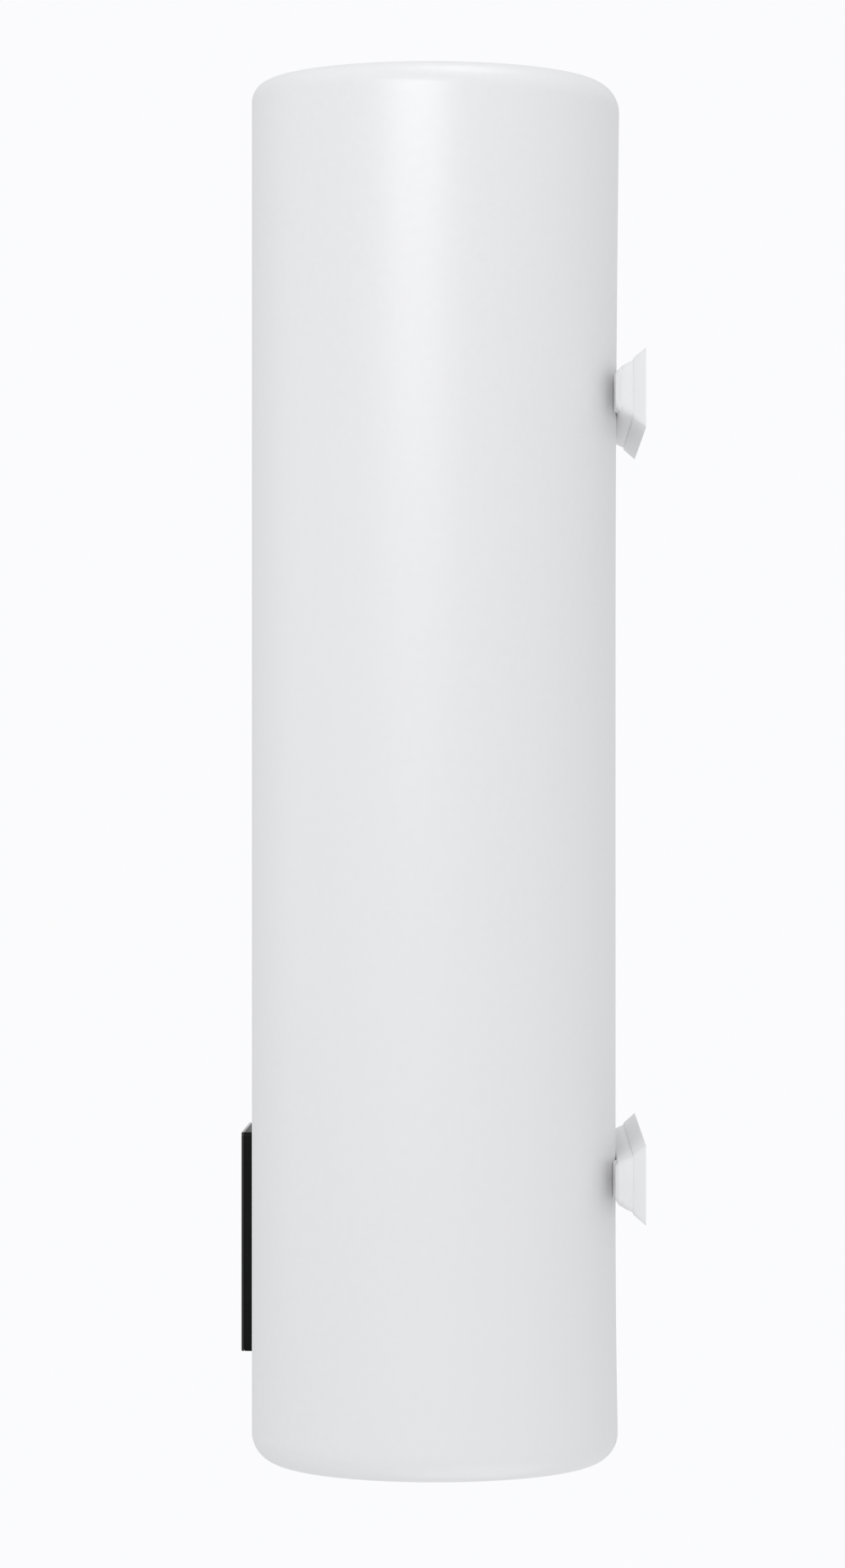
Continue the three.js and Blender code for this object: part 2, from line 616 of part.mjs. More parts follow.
// an arch over both tanks; its left leg goes on down, by a sleeve, to near the tank's bottom
function transferPipe() {
  const { x, radius, bore, legEnd, archTop, bend, sleeve, sleeveOverlap, dipEnd } = TRANSFER;
  const at = (px, pz) => new THREE.Vector3(px, 0, pz);
  const path = new THREE.CurvePath();
  path.add(new THREE.LineCurve3(at(x, legEnd), at(x, archTop - bend)));
  path.add(new THREE.QuadraticBezierCurve3(at(x, archTop - bend), at(x, archTop), at(x - bend, archTop)));
  path.add(new THREE.LineCurve3(at(x - bend, archTop), at(bend - x, archTop)));
  path.add(new THREE.QuadraticBezierCurve3(at(bend - x, archTop), at(-x, archTop), at(-x, archTop - bend)));
  path.add(new THREE.LineCurve3(at(-x, archTop - bend), at(-x, legEnd)));
  const ring = circle(radius, 8);
  ring.holes.push(circle(bore, 8));
  const dipTube = pipe(sleeve, bore, dipEnd, legEnd + sleeveOverlap, 10).translate(-x, 0, 0);
  return join([along(ring, path, 14), dipTube]);
}

function addTanks(group) {
  for (const [name, side] of [['left', -1], ['right', 1]]) {
    add(group, `${name}_tank`, 'tankEnamel', tank(side).translate(side * TANK.x, 0, 0));
  }
  add(group, 'transfer_pipe', 'steel', transferPipe());
}

// ---- Water connections ------------------------------------------------------------------------

function addConnections(group) {
  for (const [name, colour, side] of [['hot', 'red', -1], ['cold', 'blue', 1]]) {
    const connection = new THREE.Group();
    connection.position.x = side * PIPE.x;
    group.add(connection);
    add(connection, `${name}_collar`, colour,
      cup(COLLAR, COLLAR.flange, PIPE.thread + COLLAR.hole, 18));
    add(connection, `${name}_nipple`, 'zinc', pipe(PIPE.thread, PIPE.bore, PIPE.bottom, PIPE.top));
    if (name === 'hot') {
      add(connection, 'hot_standpipe', 'whitePlastic',
        pipe(STANDPIPE.radius, STANDPIPE.bore, PIPE.top + GAP, STANDPIPE.top, 12));
    } else {
      add(connection, 'cold_diffuser', 'whitePlastic', coldDiffuser());
    }
  }
}

// a cap on the inlet that turns the cold jet sideways, with four windows below its roof
function coldDiffuser() {
  const { radius, height, roof, window, windowHeight } = DIFFUSER;
  const bottom = PIPE.top + GAP;
  const top = bottom + height;
  const middle = bottom + height / 2;
  const across = 2 * (radius + OVERSHOOT);
  const cap = turned([[PIPE.bore, bottom], [radius, bottom], [radius, top], [0, top],
    [0, top - roof], [PIPE.bore, top - roof], [PIPE.bore, bottom]], 12);
  return cut(cap, [block(across, window, windowHeight, 0, 0, middle),
    block(window, across, windowHeight, 0, 0, middle)]);
}

// ---- Flanges with their heating elements, anodes and thermostats ----------------------------------

function nutPlaces() {
  return Array.from({ length: STUD.count }, (_, i) => {
    const angle = ((i + 0.5) / STUD.count) * 2 * Math.PI;
    return [STUD.circle * Math.cos(angle), STUD.circle * Math.sin(angle)];
  });
}

function flangePlate() {
  const { radius, thick, top } = FLANGE;
  const low = top - thick - OVERLAP;
  const high = top + OVERLAP;
  const { x, radius: wellRadius, bore, top: wellTop, roof } = THERMOWELL;
  const well = rod(wellRadius, top - thick + OVERLAP, wellTop, x, 0, 10);
  const holes = [
    ...nutPlaces().map(([px, py]) => rod(STUD.radius + STUD.clearance, low, high, px, py, 8)),
    ...SIDES.map((side) =>
      rod(ELEMENT.rod + ELEMENT.clearance, low, high, ELEMENT.x, (side * ELEMENT.spread) / 2, 8)),
    rod(ANODE.stud + ANODE.clearance, low, high, ANODE.x, 0, 8),
    rod(bore, low, wellTop - roof, x, 0, 10),
  ];
  return cut(join([rod(radius, top - thick, top, 0, 0, 24), well]), holes);
}

function heatingElement() {
  const { x, spread, rod: radius, top, end } = ELEMENT;
  const bend = spread / 2;
  const at = (y, z) => new THREE.Vector3(x, y, z);
  const arc = Array.from({ length: 7 }, (_, i) => {
    const angle = (i / 6) * Math.PI;
    return at(-bend * Math.cos(angle), top - bend + bend * Math.sin(angle));
  });
  const path = new THREE.CurvePath();
  path.add(new THREE.LineCurve3(at(-bend, end), arc[0]));
  arc.slice(1).forEach((point, i) => path.add(new THREE.LineCurve3(arc[i], point)));
  path.add(new THREE.LineCurve3(arc.at(-1), at(bend, end)));
  return along(circle(radius, 6), path, 22);
}

function anode() {
  const base = FLANGE.top + GAP + ANODE.aboveFlange;
  return turned([[0, ANODE.end], [ANODE.stud, ANODE.end], [ANODE.stud, base], [ANODE.rod, base],
    [ANODE.rod, base + ANODE.length], [0, base + ANODE.length]], 12).translate(ANODE.x, 0, 0);
}

function thermostat() {
  const { width, depth, bottom, top, stem, stemTop } = THERMOSTAT;
  const { radius, collar, travel, wall, clearance } = BUTTON;
  const { x } = THERMOWELL;
  const body = join([
    block(width, depth, top - bottom, x, 0, (top + bottom) / 2),
    rod(stem, top - OVERLAP, stemTop, x, 0, 10),
  ]);
  const chamber = bottom + wall;
  return cut(body, [
    rod(radius + clearance, bottom - OVERLAP, chamber + OVERLAP, x, 0),
    rod(collar + clearance, chamber, chamber + BUTTON.thick + travel + 3 * GAP + clearance, x, 0),
  ]);
}

function resetButton() {
  const { bottom } = THERMOSTAT;
  const { radius, collar, thick, proud, wall } = BUTTON;
  const shoulder = bottom + wall + GAP;
  return turned([[0, bottom - proud], [radius, bottom - proud], [radius, shoulder],
    [collar, shoulder], [collar, shoulder + thick], [0, shoulder + thick]], 16)
    .translate(THERMOWELL.x, 0, 0);
}

function flangeNut([x, y]) {
  const top = FLANGE.top - FLANGE.thick - GAP;
  return pipe(NUT.radius, NUT.bore, top - NUT.height, top, 6).translate(x, y, 0);
}

function addFlange(group, name, x) {
  const flange = new THREE.Group();
  flange.position.x = x;
  group.add(flange);
  const gasketBottom = FLANGE.top + GAP;
  add(flange, `${name}_flange`, 'steel', flangePlate());
  add(flange, `${name}_gasket`, 'rubber',
    pipe(GASKET.radius, GASKET.bore, gasketBottom, gasketBottom + GASKET.thick, 16));
  add(flange, `${name}_heating_element`, 'copper', heatingElement());
  add(flange, `${name}_anode`, 'magnesium', anode());
  add(flange, `${name}_thermostat`, 'greyPlastic', thermostat());
  add(flange, `${name}_reset_button`, 'red', resetButton());
  nutPlaces().forEach((place, i) => add(flange, `${name}_flange_nut_${i + 1}`, 'zinc', flangeNut(place)));
}

// ---- Electrical compartment ----------------------------------------------------------------------

function addElectrics(group) {
  add(group, 'power_board', 'board',
    block(BOARD.width, BOARD.depth, BOARD.thick, 0, BOARD.y, BOARD.z + BOARD.thick / 2));
  const relayBottom = BOARD.z + BOARD.thick + GAP;
  for (const [side, x] of [['left', -RELAY.x], ['right', RELAY.x]]) {
    add(group, `${side}_relay`, 'blackPlastic', block(RELAY.width, RELAY.depth, RELAY.height,
      x, RELAY.y, relayBottom + RELAY.height / 2));
  }
  const terminalBottom = BOTTOM.face + BOTTOM.plate + GAP;
  add(group, 'terminal_block', 'greyPlastic', block(TERMINALS.width, TERMINALS.depth, TERMINALS.height,
    TERMINALS.x, TERMINALS.y, terminalBottom + TERMINALS.height / 2));
  add(group, 'gland_well', 'whitePlastic',
    cup(GLAND_WELL, 0, GLAND.thread + GAP, 14).translate(GLAND.x, GLAND.y, 0));
  add(group, 'cable_gland', 'blackPlastic', cableGland());
  addLeads(group);
}

function addLeads(group) {
  const terminalFace = TERMINALS.y - TERMINALS.depth / 2 - GAP;
  const boardEntry = BOARD.z + BOARD.thick + LEAD.fromFace;
  const behindRelays = BOARD.y + LEAD.behindBoard;
  const [supplyX, , supplyHeight] = SUPPLY_LEAD_BEND[0];
  add(group, 'supply_lead', 'greyCable', lead(LEAD.supply, [[supplyX, terminalFace, supplyHeight],
    ...SUPPLY_LEAD_BEND, [supplyX, behindRelays, boardEntry]]));
  const [earthX, , earthHeight] = EARTH_LEAD_BEND[0];
  const [flangeX, flangeY] = EARTH_LEAD_BEND.at(-1);
  const flangeFace = FLANGE.top - FLANGE.thick - LEAD.fromFace;
  add(group, 'earth_lead', 'earthCable', lead(LEAD.earth, [[earthX, terminalFace, earthHeight],
    ...EARTH_LEAD_BEND, [flangeX, flangeY, flangeFace]]));
  for (const [name, side] of [['left', -1], ['right', 1]]) {
    add(group, `${name}_element_lead`, 'greyCable', elementLead(side, behindRelays, boardEntry));
  }
}

// from the power board, up and over its rear edge, to the front of a thermostat
function elementLead(side, behindRelays, boardEntry) {
  const face = -THERMOSTAT.depth / 2 - GAP;
  const { startX, turnX, turnY, crossY, straightY, aboveMiddle, rise, turnDrop } = ELEMENT_LEAD;
  const height = (THERMOSTAT.bottom + THERMOSTAT.top) / 2 + aboveMiddle;
  const thermostatX = side * TANK.x + THERMOWELL.x;
  const start = side * startX;
  const turn = side * turnX;
  return lead(LEAD.element, [[start, behindRelays, boardEntry], [start, behindRelays, height - rise],
    [turn, turnY, height - turnDrop], [(thermostatX + turn) / 2, crossY, height],
    [thermostatX, straightY, height], [thermostatX, face, height]]);
}

function cableGland() {
  const { x, y, radius, mouth, bottom, taperTop, thread, stem, bore } = GLAND;
  const shoulder = GLAND_WELL.depth - GAP;
  const top = shoulder + stem;
  return turned([[bore, bottom], [mouth, bottom], [radius, taperTop], [radius, shoulder],
    [thread, shoulder], [thread, top], [bore, top], [bore, bottom]], 16).translate(x, y, 0);
}

// ---- Assembly ------------------------------------------------------------------------------------

function waterHeater() {
  const heater = new THREE.Group();
  add(heater, 'casing_shell', 'enamel', casingShell());
  add(heater, 'top_cap', 'enamel', topCap());
  add(heater, 'bottom_cap', 'whitePlastic', bottomCap());
  add(heater, 'service_cover', 'whitePlastic', serviceCover());
  SIDES.forEach((side, i) => add(heater, `cover_screw_${i + 1}`, 'zinc',
    coverScrew().translate(side * COVER_SCREW.x, 0, 0)));
  add(heater, 'foam_insulation', 'foam', foamInsulation());
  const [upper, lower] = bracketHeights();
  addBracket(heater, 'upper', upper);
  addBracket(heater, 'lower', lower);
  addPanel(heater);
  add(heater, 'display_cable', 'greyCable', displayCable());
  addTanks(heater);
  addConnections(heater);
  addFlange(heater, 'left', -TANK.x);
  addFlange(heater, 'right', TANK.x);
  addElectrics(heater);

  const rimTop = upper + (BRACKET.height - BRACKET.land) / 2;
  heater.position.set(0, -WALL_Y, -rimTop);
  const root = new THREE.Group();
  root.add(heater);
  return root;
}

export default waterHeater();
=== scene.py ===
"""A flat water heater that hangs on a wall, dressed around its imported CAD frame.

Metres, in the CAD frame: the front faces -Y, the wall is at +Y and +Z is up. The casing,
its end plates, the service cover, the wall brackets, the control panel and the connections
below are built again here with fine surfaces; the pieces inside keep their CAD shape.
"""

import json
import math

import bmesh
import bpy
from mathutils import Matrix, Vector


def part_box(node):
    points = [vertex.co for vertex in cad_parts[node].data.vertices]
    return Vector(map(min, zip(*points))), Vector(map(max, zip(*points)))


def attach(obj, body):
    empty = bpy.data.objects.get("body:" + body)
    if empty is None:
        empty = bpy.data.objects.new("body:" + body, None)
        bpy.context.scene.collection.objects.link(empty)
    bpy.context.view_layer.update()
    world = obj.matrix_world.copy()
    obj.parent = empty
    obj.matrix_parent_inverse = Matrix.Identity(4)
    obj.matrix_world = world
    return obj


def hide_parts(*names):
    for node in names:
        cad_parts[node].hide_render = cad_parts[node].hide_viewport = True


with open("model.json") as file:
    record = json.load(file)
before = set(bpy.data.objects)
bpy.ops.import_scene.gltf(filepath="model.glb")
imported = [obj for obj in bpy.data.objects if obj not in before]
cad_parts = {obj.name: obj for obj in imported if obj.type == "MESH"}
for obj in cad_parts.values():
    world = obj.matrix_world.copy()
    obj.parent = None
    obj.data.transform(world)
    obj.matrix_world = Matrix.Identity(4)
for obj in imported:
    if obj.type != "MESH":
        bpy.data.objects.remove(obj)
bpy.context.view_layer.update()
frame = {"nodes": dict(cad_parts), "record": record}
MM = 0.001
WELD = 0.002 * MM  # in cut meshes and CAD nodes, points closer than this are one point
TOUCHING = 0.001 * MM  # the same in turned meshes
SMOOTH_ANGLE, BEVEL_ANGLE = 30, 40  # degrees; sharper edges stay sharp, or are bevelled

# Pieces that come in sets
BRACKETS = ("upper", "lower")
WATER = ("hot", "cold")
SCREWS = ("cover_screw_1", "cover_screw_2")

# ---- Driving dimensions ------------------------------------------------------

# Casing
CASING_LOW, CASING_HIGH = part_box("casing_shell")
WIDTH = CASING_HIGH.x - CASING_LOW.x
HEIGHT = CASING_HIGH.z - CASING_LOW.z
DEPTH = 290 * MM  # without the swell of the rear face
BOTTOM = CASING_LOW.z
MID_Y = CASING_LOW.y + DEPTH / 2
BACK_Y = MID_Y + DEPTH / 2
ROUND_X = (WIDTH - DEPTH) / 2  # where the half-round sides begin
SHEET = 0.8 * MM
TOP_FILLET_FRONT = 15 * MM
TOP_FILLET_REAR = 24 * MM
BOTTOM_FILLET = 23.5 * MM
TOP_OPENING = 32 * MM  # how far in from the plan's edge the open ends begin
BOTTOM_OPENING = 25.4 * MM
TOP_SWELL, TOP_SWELL_FROM = 3.1 * MM, 650 * MM
BOTTOM_SWELL, BOTTOM_SWELL_FROM = 2.2 * MM, 200 * MM
SIDE_STEPS = 48  # points round each side of the plan
FLAT_MARGIN = 2.5 * MM  # from a round side to the first point of the flat next to it
FILLET_STEPS_OUTSIDE, FILLET_STEPS_INSIDE = 16, 6
WALL_LEVELS, WALL_MARGIN = 36, 2 * MM  # levels of the straight wall, and its distance from the fillets
SEAM_DEPTH, SEAM_MARGIN = 0.45 * MM, 30 * MM  # the margin lies between the seam and the casing's ends
SEAM_SHAPE = [(1.2, 0), (0.5, 1), (-0.5, 1), (-1.2, 0)]  # millimetres across, share of the depth
WINDOW_HALF_WIDTH, WINDOW_MARGIN = 45 * MM, 14 * MM  # the hole behind the control panel
CASING_HOLE_RADIUS, CASING_HOLE_REACH = 5 * MM, 8 * MM  # round the brackets' bolts
CUTTER_MARGIN = 1 * MM  # how far a cutter stands out of what it cuts

# End plates
CAP_STEPS = 40  # points round each side of their plan
LID_GAP, LID_EDGE, LID_CROWN = 0.4 * MM, 0.6 * MM, 0.8 * MM
LID_LOW, LID_HIGH = 3.4 * MM, 1.0 * MM  # below the casing's upper end
LID_SHARES = (0.25, 0.5, 0.75, 0.95)  # of the way to the middle, where its crown has rings
CAP_GAP, CAP_THICKNESS, CAP_BEVEL = 0.1 * MM, 3.3 * MM, 0.18 * MM
CAP_THROUGH = 9 * MM  # a height above all that a hole cuts
LEDGE = (340 * MM, 158 * MM, 16 * MM)  # width, depth and corner radius
SEAT = (332 * MM, 150 * MM, 12 * MM)
SERVICE_OPENING = (312 * MM, 130 * MM, 12 * MM)
LEDGE_HEIGHT, SEAT_DEPTH = 5.3 * MM, 2.8 * MM
WATER_HOLE_RADIUS, GLAND_HOLE_RADIUS = 25.6 * MM, 18.3 * MM
POST_RADIUS, POST_TOP = 5 * MM, 16.8 * MM
POST_BORE_RADIUS, POST_BORE_TOP = 2.0 * MM, 14.8 * MM

# Moulded cups round the connections
CUP_WALL, CUP_LIP, CUP_ROUND = 2.5 * MM, 0.8 * MM, 1.6 * MM
CUP_DRAFT, CUP_CHAMFER = 0.2 * MM, 0.4 * MM
CUP_STEPS, CUP_SIDES = 4, 72
WATER_CUP = {"radius": 24 * MM, "flange": 1.5 * MM, "hole": 11.5 * MM}
GLAND_CUP = {"radius": 18 * MM, "flange": 0, "hole": 7.9 * MM}

# Service cover and its screws
COVER_CORNER, COVER_BEVEL = 10 * MM, 0.4 * MM
COUNTERSINK = [(0, -1), (5.3, -1), (1.9, 2.4), (1.9, 4), (0, 4)]  # radius and height, millimetres
GROOVE_WIDTH, GROOVE_END, GROOVE_DEPTH = 3 * MM, 1.49 * MM, 0.7 * MM
LONG_GROOVE, LONG_GROOVE_Y = 280 * MM, 52 * MM
SHORT_GROOVE, SHORT_GROOVE_PITCH, SHORT_GROOVES = 56 * MM, 12 * MM, 9
SCREW_HEAD_RADIUS = 3.6 * MM
SCREW_HEAD = [(0, 0.05), (0.5, 0.08), (0.85, 0.3), (1, 0.7)]  # share of the radius, millimetres up
SCREW_SHAFT = [(1.6, 2.5), (1.6, 11.5), (0, 13.2)]  # radius and height, millimetres
RECESS_LONG, RECESS_SHORT, RECESS_DEPTH = 1.9 * MM, 0.45 * MM, 1.5 * MM
SCREW_BEVEL = 0.12 * MM

# Wall brackets and the hook plates in them
WALL_Y = 0.0
# millimetres that the pressing is drawn in from its rim, at depths in front of the wall
TRAY_CURVE = [(0.0, 0.0), (7.0, 5.5), (9.6, 7.6), (9.9, 9.3), (13.0, 10.4), (15.8, 11.6), (18.0, 12.9)]
FOOT_CURVE = [(18.4, 13.3), (19.6, 14.1), (21.0, 15.5), (22.4, 16.8), (23.1, 17.8), (23.4, 18.8)]
# the rings of the tray's base in millimetres: lift, draw-in and corner radius
OUTER_BASE = [(0.8, 14.4, 7), (0.0, 16.2, 6.5)]
INNER_BASE = [(1.2, 16.2, 6), (0.0, 18.8, 5)]
# a corner's radius at the rim, and what each millimetre of depth adds to it
OUTER_CORNER = (3, 0.25)
INNER_CORNER = (2.4, 0.22)
RIM_LAND = 2.6 * MM
PRESSED_SHEET = 2 * MM
FOOT_START, FOOT_CORNER = 150 * MM, 5 * MM
BOLT_HEAD = 4.3 * MM
BOLT_HOLE_RADIUS, BOLT_HOLE_FRONT, BOLT_HOLE_REAR = 4.6 * MM, 3 * MM, 6 * MM
SPACER_START, SPACER_END = 112 * MM, 131 * MM
SPACER_HALF_HEIGHT, SPACER_GAP, SPACER_STEPS = 14.5 * MM, 0.4 * MM, 8
HOOK_PLATE_CORNER, HOOK_PLATE_BEVEL = 5 * MM, 0.4 * MM
HOOK_SLOT_X, HOOK_SLOT = 105 * MM, (70 * MM, 12 * MM, 2 * MM)  # width, height and corner radius
ACCESS_HOLE_X, ACCESS_HOLE_RADIUS = 30 * MM, 8.5 * MM

# Control panel
PANEL_CORNER, PANEL_STEPS, PANEL_BEVEL = 3 * MM, 10, 0.35 * MM
GLASS_BEVEL = 0.5 * MM
PANEL_GAP, PANEL_OVERLAP = 0.3 * MM, 2 * MM  # between frame and casing, and of frame and tub
TUB_HALF_WIDTH, TUB_HALF_HEIGHT, TUB_WALL = 44 * MM, 73.5 * MM, 2 * MM  # the part behind the frame
CABLE_SLOT_HALF_WIDTH = 9 * MM
CABLE_SLOT_FRONT, CABLE_SLOT_REAR = 6.6 * MM, 2.6 * MM  # in front of the tub's back
CABLE_SLOT_LOW, CABLE_SLOT_HIGH = 78 * MM, 68 * MM  # below the panel's middle
PRINT, PRINT_GAP, PRINT_STEP = 0.06 * MM, 0.02 * MM, 0.004 * MM  # thick, off the glass, bar over bar
SIGN_RADIUS, SIGN_LENGTH, SIGN_LINE, SIGN_RING = 7 * MM, 6 * MM, 0.8 * MM, 0.5 * MM
BAR_ROUNDING = 0.45  # share of a bar's thickness
# heights from the panel's middle
PLUS_Z, MINUS_Z = 2 * MM, -24 * MM
POWER_Z, POWER_BAR_Z, POWER_RADIUS, POWER_BAR = -62 * MM, -57.6 * MM, 5 * MM, 5 * MM
POWER_START, POWER_SWEEP, DEGREES_PER_STEP = 120, 300, 6  # the open ring round its bar
LEVELS, LEVEL_Z, LEVEL_PITCH = 5, 26 * MM, 9 * MM
LEVEL_WIDTH, LEVEL_HEIGHT = 6 * MM, 1.0 * MM

# Water connections
THREAD_PITCH = 1.814 * MM
THREAD_CREST, THREAD_ROOT, PIPE_BORE = 10.48 * MM, 9.32 * MM, 7 * MM
THREAD_END, THREAD_MARGIN, THREAD_RUNOUT = 16 * MM, 0.4 * MM, 1.2 * MM
THREAD_SIDES, THREAD_STEPS_PER_TURN = 48, 10
THREAD_FADE = 0.6  # turns over which the thread rises at either end
THREAD_ROOT_FLAT, THREAD_FLANK = 0.12, 0.76  # shares of half a pitch
PIPE_UNDERSIZE = 0.05 * MM

# Cable gland
GLAND_BORE, GLAND_NECK, GLAND_RADIUS, GLAND_SHOULDER = 4.5 * MM, 7.6 * MM, 10 * MM, 14.2 * MM
GLAND_DOME = [(4.5, 0.6), (5.1, 0.0), (6.4, 0.0), (8.0, 0.9), (9.2, 2.6), (10, 4.4)]  # millimetres
GLAND_CHAMFER, GLAND_SIDES = 0.5 * MM, 96
FLUTES, FLUTE_DEPTH, FLUTE_FROM, FLUTE_MARGIN = 12, 0.35 * MM, 4.0 * MM, 0.2 * MM

# Stage
CAMERA_DISTANCE = 4.0
CAMERA_HEIGHT = 539.8 * MM  # above the casing's lower end
CAMERA_TURN = math.radians(1.128)  # towards the rear, off the heater's side
CAMERA_ASIDE = 10.96 * MM  # towards the front
CAMERA_LENS, CAMERA_SENSOR = 112.15, 36  # millimetres
CAMERA_CLIP = 200
FLOOR_DROP, FLOOR_HALF_SIZE = 1.3, 60  # metres
PAPER = (0.966, 0.966, 0.98)  # the floor and the background
AMBIENT, AMBIENT_COLOUR = 0.748, (0.98, 0.985, 1.0)
# name, place and aim measured from the foot of the heater's axis, size, and power in watts
LIGHTS = [
    ("key", (3.3, -0.55, 1.75), (0, 0, 1.0), (2.0, 0.45), 25),
    ("top_fill", (0.4, 0.4, 3.2), (0.1, 0.1, 0.2), (1.2, 1.2), 7),
    ("floor_bounce", (0.3, 0.4, -1.1), (0.1, 0.1, 0.9), (1.2, 1.2), 2.2),
    ("front_fill", (-0.2, -3.0, HEIGHT / 2 + 0.4), (0, 0, HEIGHT / 2), (1.6, 2.4), 3),
]
CAD_BEVEL = 0.3 * MM  # on the nodes that keep their CAD shape

# ---- Meshes ------------------------------------------------------------------


def centre_of(node):
    low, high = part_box(node)
    return (low + high) / 2


def mesh_object(name, points, faces, sharp=SMOOTH_ANGLE):
    mesh = bpy.data.meshes.new(name)
    mesh.from_pydata([tuple(point) for point in points], [], faces)
    mesh.validate()
    clean = bmesh.new()
    clean.from_mesh(mesh)
    bmesh.ops.recalc_face_normals(clean, faces=clean.faces)
    clean.to_mesh(mesh)
    clean.free()
    obj = bpy.data.objects.new(name, mesh)
    bpy.context.scene.collection.objects.link(obj)
    smooth(obj, sharp)
    return obj


def smooth(obj, sharp=SMOOTH_ANGLE):
    obj.data.shade_smooth()
    obj.data.set_sharp_from_angle(angle=math.radians(sharp))


def skin(name, rings, loop=False, sharp=SMOOTH_ANGLE):
    """Rings of equal point count, skinned in order; open ends are closed by one face each."""
    count = len(rings[0])
    points = [point for ring in rings for point in ring]
    faces = []
    last = len(rings) if loop else len(rings) - 1
    for i in range(last):
        a, b = i * count, (i + 1) % len(rings) * count
        for j in range(count):
            k = (j + 1) % count
            faces.append((a + j, a + k, b + k, b + j))
    if not loop:
        faces.append(tuple(range(count)))
        faces.append(tuple(last * count + j for j in range(count)))
    return mesh_object(name, points, faces, sharp)


def lathe(name, profile, centre, sides):
    """Turns [radius, height] points, which close on themselves, about an upright axis."""
    x, y, z = centre
    angles = [2 * math.pi * i / sides for i in range(sides)]
    rings = []
    for radius, height in profile:
        rings.append([
            Vector((x + radius * math.cos(angle), y + radius * math.sin(angle), z + height))
            for angle in angles
        ])
    obj = skin(name, rings, loop=True)
    clean = bmesh.new()
    clean.from_mesh(obj.data)
    merge(clean, TOUCHING)
    clean.to_mesh(obj.data)
    clean.free()
    smooth(obj)
    return obj


def merge(clean, distance):
    bmesh.ops.remove_doubles(clean, verts=clean.verts, dist=distance)
    bmesh.ops.dissolve_degenerate(clean, edges=clean.edges, dist=distance)


def prism(name, outline, low, high, axis="Z"):
    """An outline of (a, b) points stood up between two levels of an axis."""
    place = {
        "Z": lambda a, b, level: Vector((a, b, level)),
        "Y": lambda a, b, level: Vector((a, level, b)),
    }[axis]
    return skin(name, [[place(a, b, level) for a, b in outline] for level in (low, high)])


def box(name, low, high):
    outline = [(low[0], low[1]), (high[0], low[1]), (high[0], high[1]), (low[0], high[1])]
    return prism(name, outline, low[2], high[2])


def circle(x, y, radius, sides=48):
    angles = [2 * math.pi * i / sides for i in range(sides)]
    return [(x + radius * math.cos(angle), y + radius * math.sin(angle)) for angle in angles]


def rounded_rectangle(x, y, width, height, radius, steps=8):
    points = []
    corners = [(1, 1, 0), (-1, 1, 90), (-1, -1, 180), (1, -1, 270)]
    for side_x, side_y, start in corners:
        for i in range(steps + 1):
            angle = math.radians(start + 90 * i / steps)
            points.append((
                x + side_x * (width / 2 - radius) + radius * math.cos(angle),
                y + side_y * (height / 2 - radius) + radius * math.sin(angle),
            ))
    return points


def boolean(obj, operation, tools):
    for tool in tools:
        modifier = obj.modifiers.new("cut", "BOOLEAN")
        modifier.operation = operation
        modifier.solver = "EXACT"
        modifier.object = tool
    bake(obj, tools)


def bake(obj, spent):
    """Applies an object's modifiers and removes the tools they used."""
    graph = bpy.context.evaluated_depsgraph_get()
    made = bpy.data.meshes.new_from_object(obj.evaluated_get(graph))
    triangulate(made)
    old = obj.data
    obj.modifiers.clear()
    obj.data = made
    bpy.data.meshes.remove(old)
    for tool in spent:
        mesh = tool.data
        bpy.data.objects.remove(tool)
        bpy.data.meshes.remove(mesh)
    smooth(obj)


def triangulate(mesh):
    """Flat faces with holes in them go wrong when they are bevelled, and triangles don't."""
    clean = bmesh.new()
    clean.from_mesh(mesh)
    bmesh.ops.triangulate(clean, faces=clean.faces, ngon_method="EAR_CLIP")
    merge(clean, WELD)
    clean.to_mesh(mesh)
    clean.free()


def cut(obj, tools):
    boolean(obj, "DIFFERENCE", tools)


def join(obj, others):
    boolean(obj, "UNION", others)


def bevel(obj, width, segments):
    modifier = obj.modifiers.new("edge", "BEVEL")
    modifier.width = width
    modifier.segments = segments
    modifier.limit_method = "ANGLE"
    modifier.angle_limit = math.radians(BEVEL_ANGLE)
    modifier.harden_normals = True
    modifier.miter_outer = "MITER_ARC"


# ---- Materials ---------------------------------------------------------------


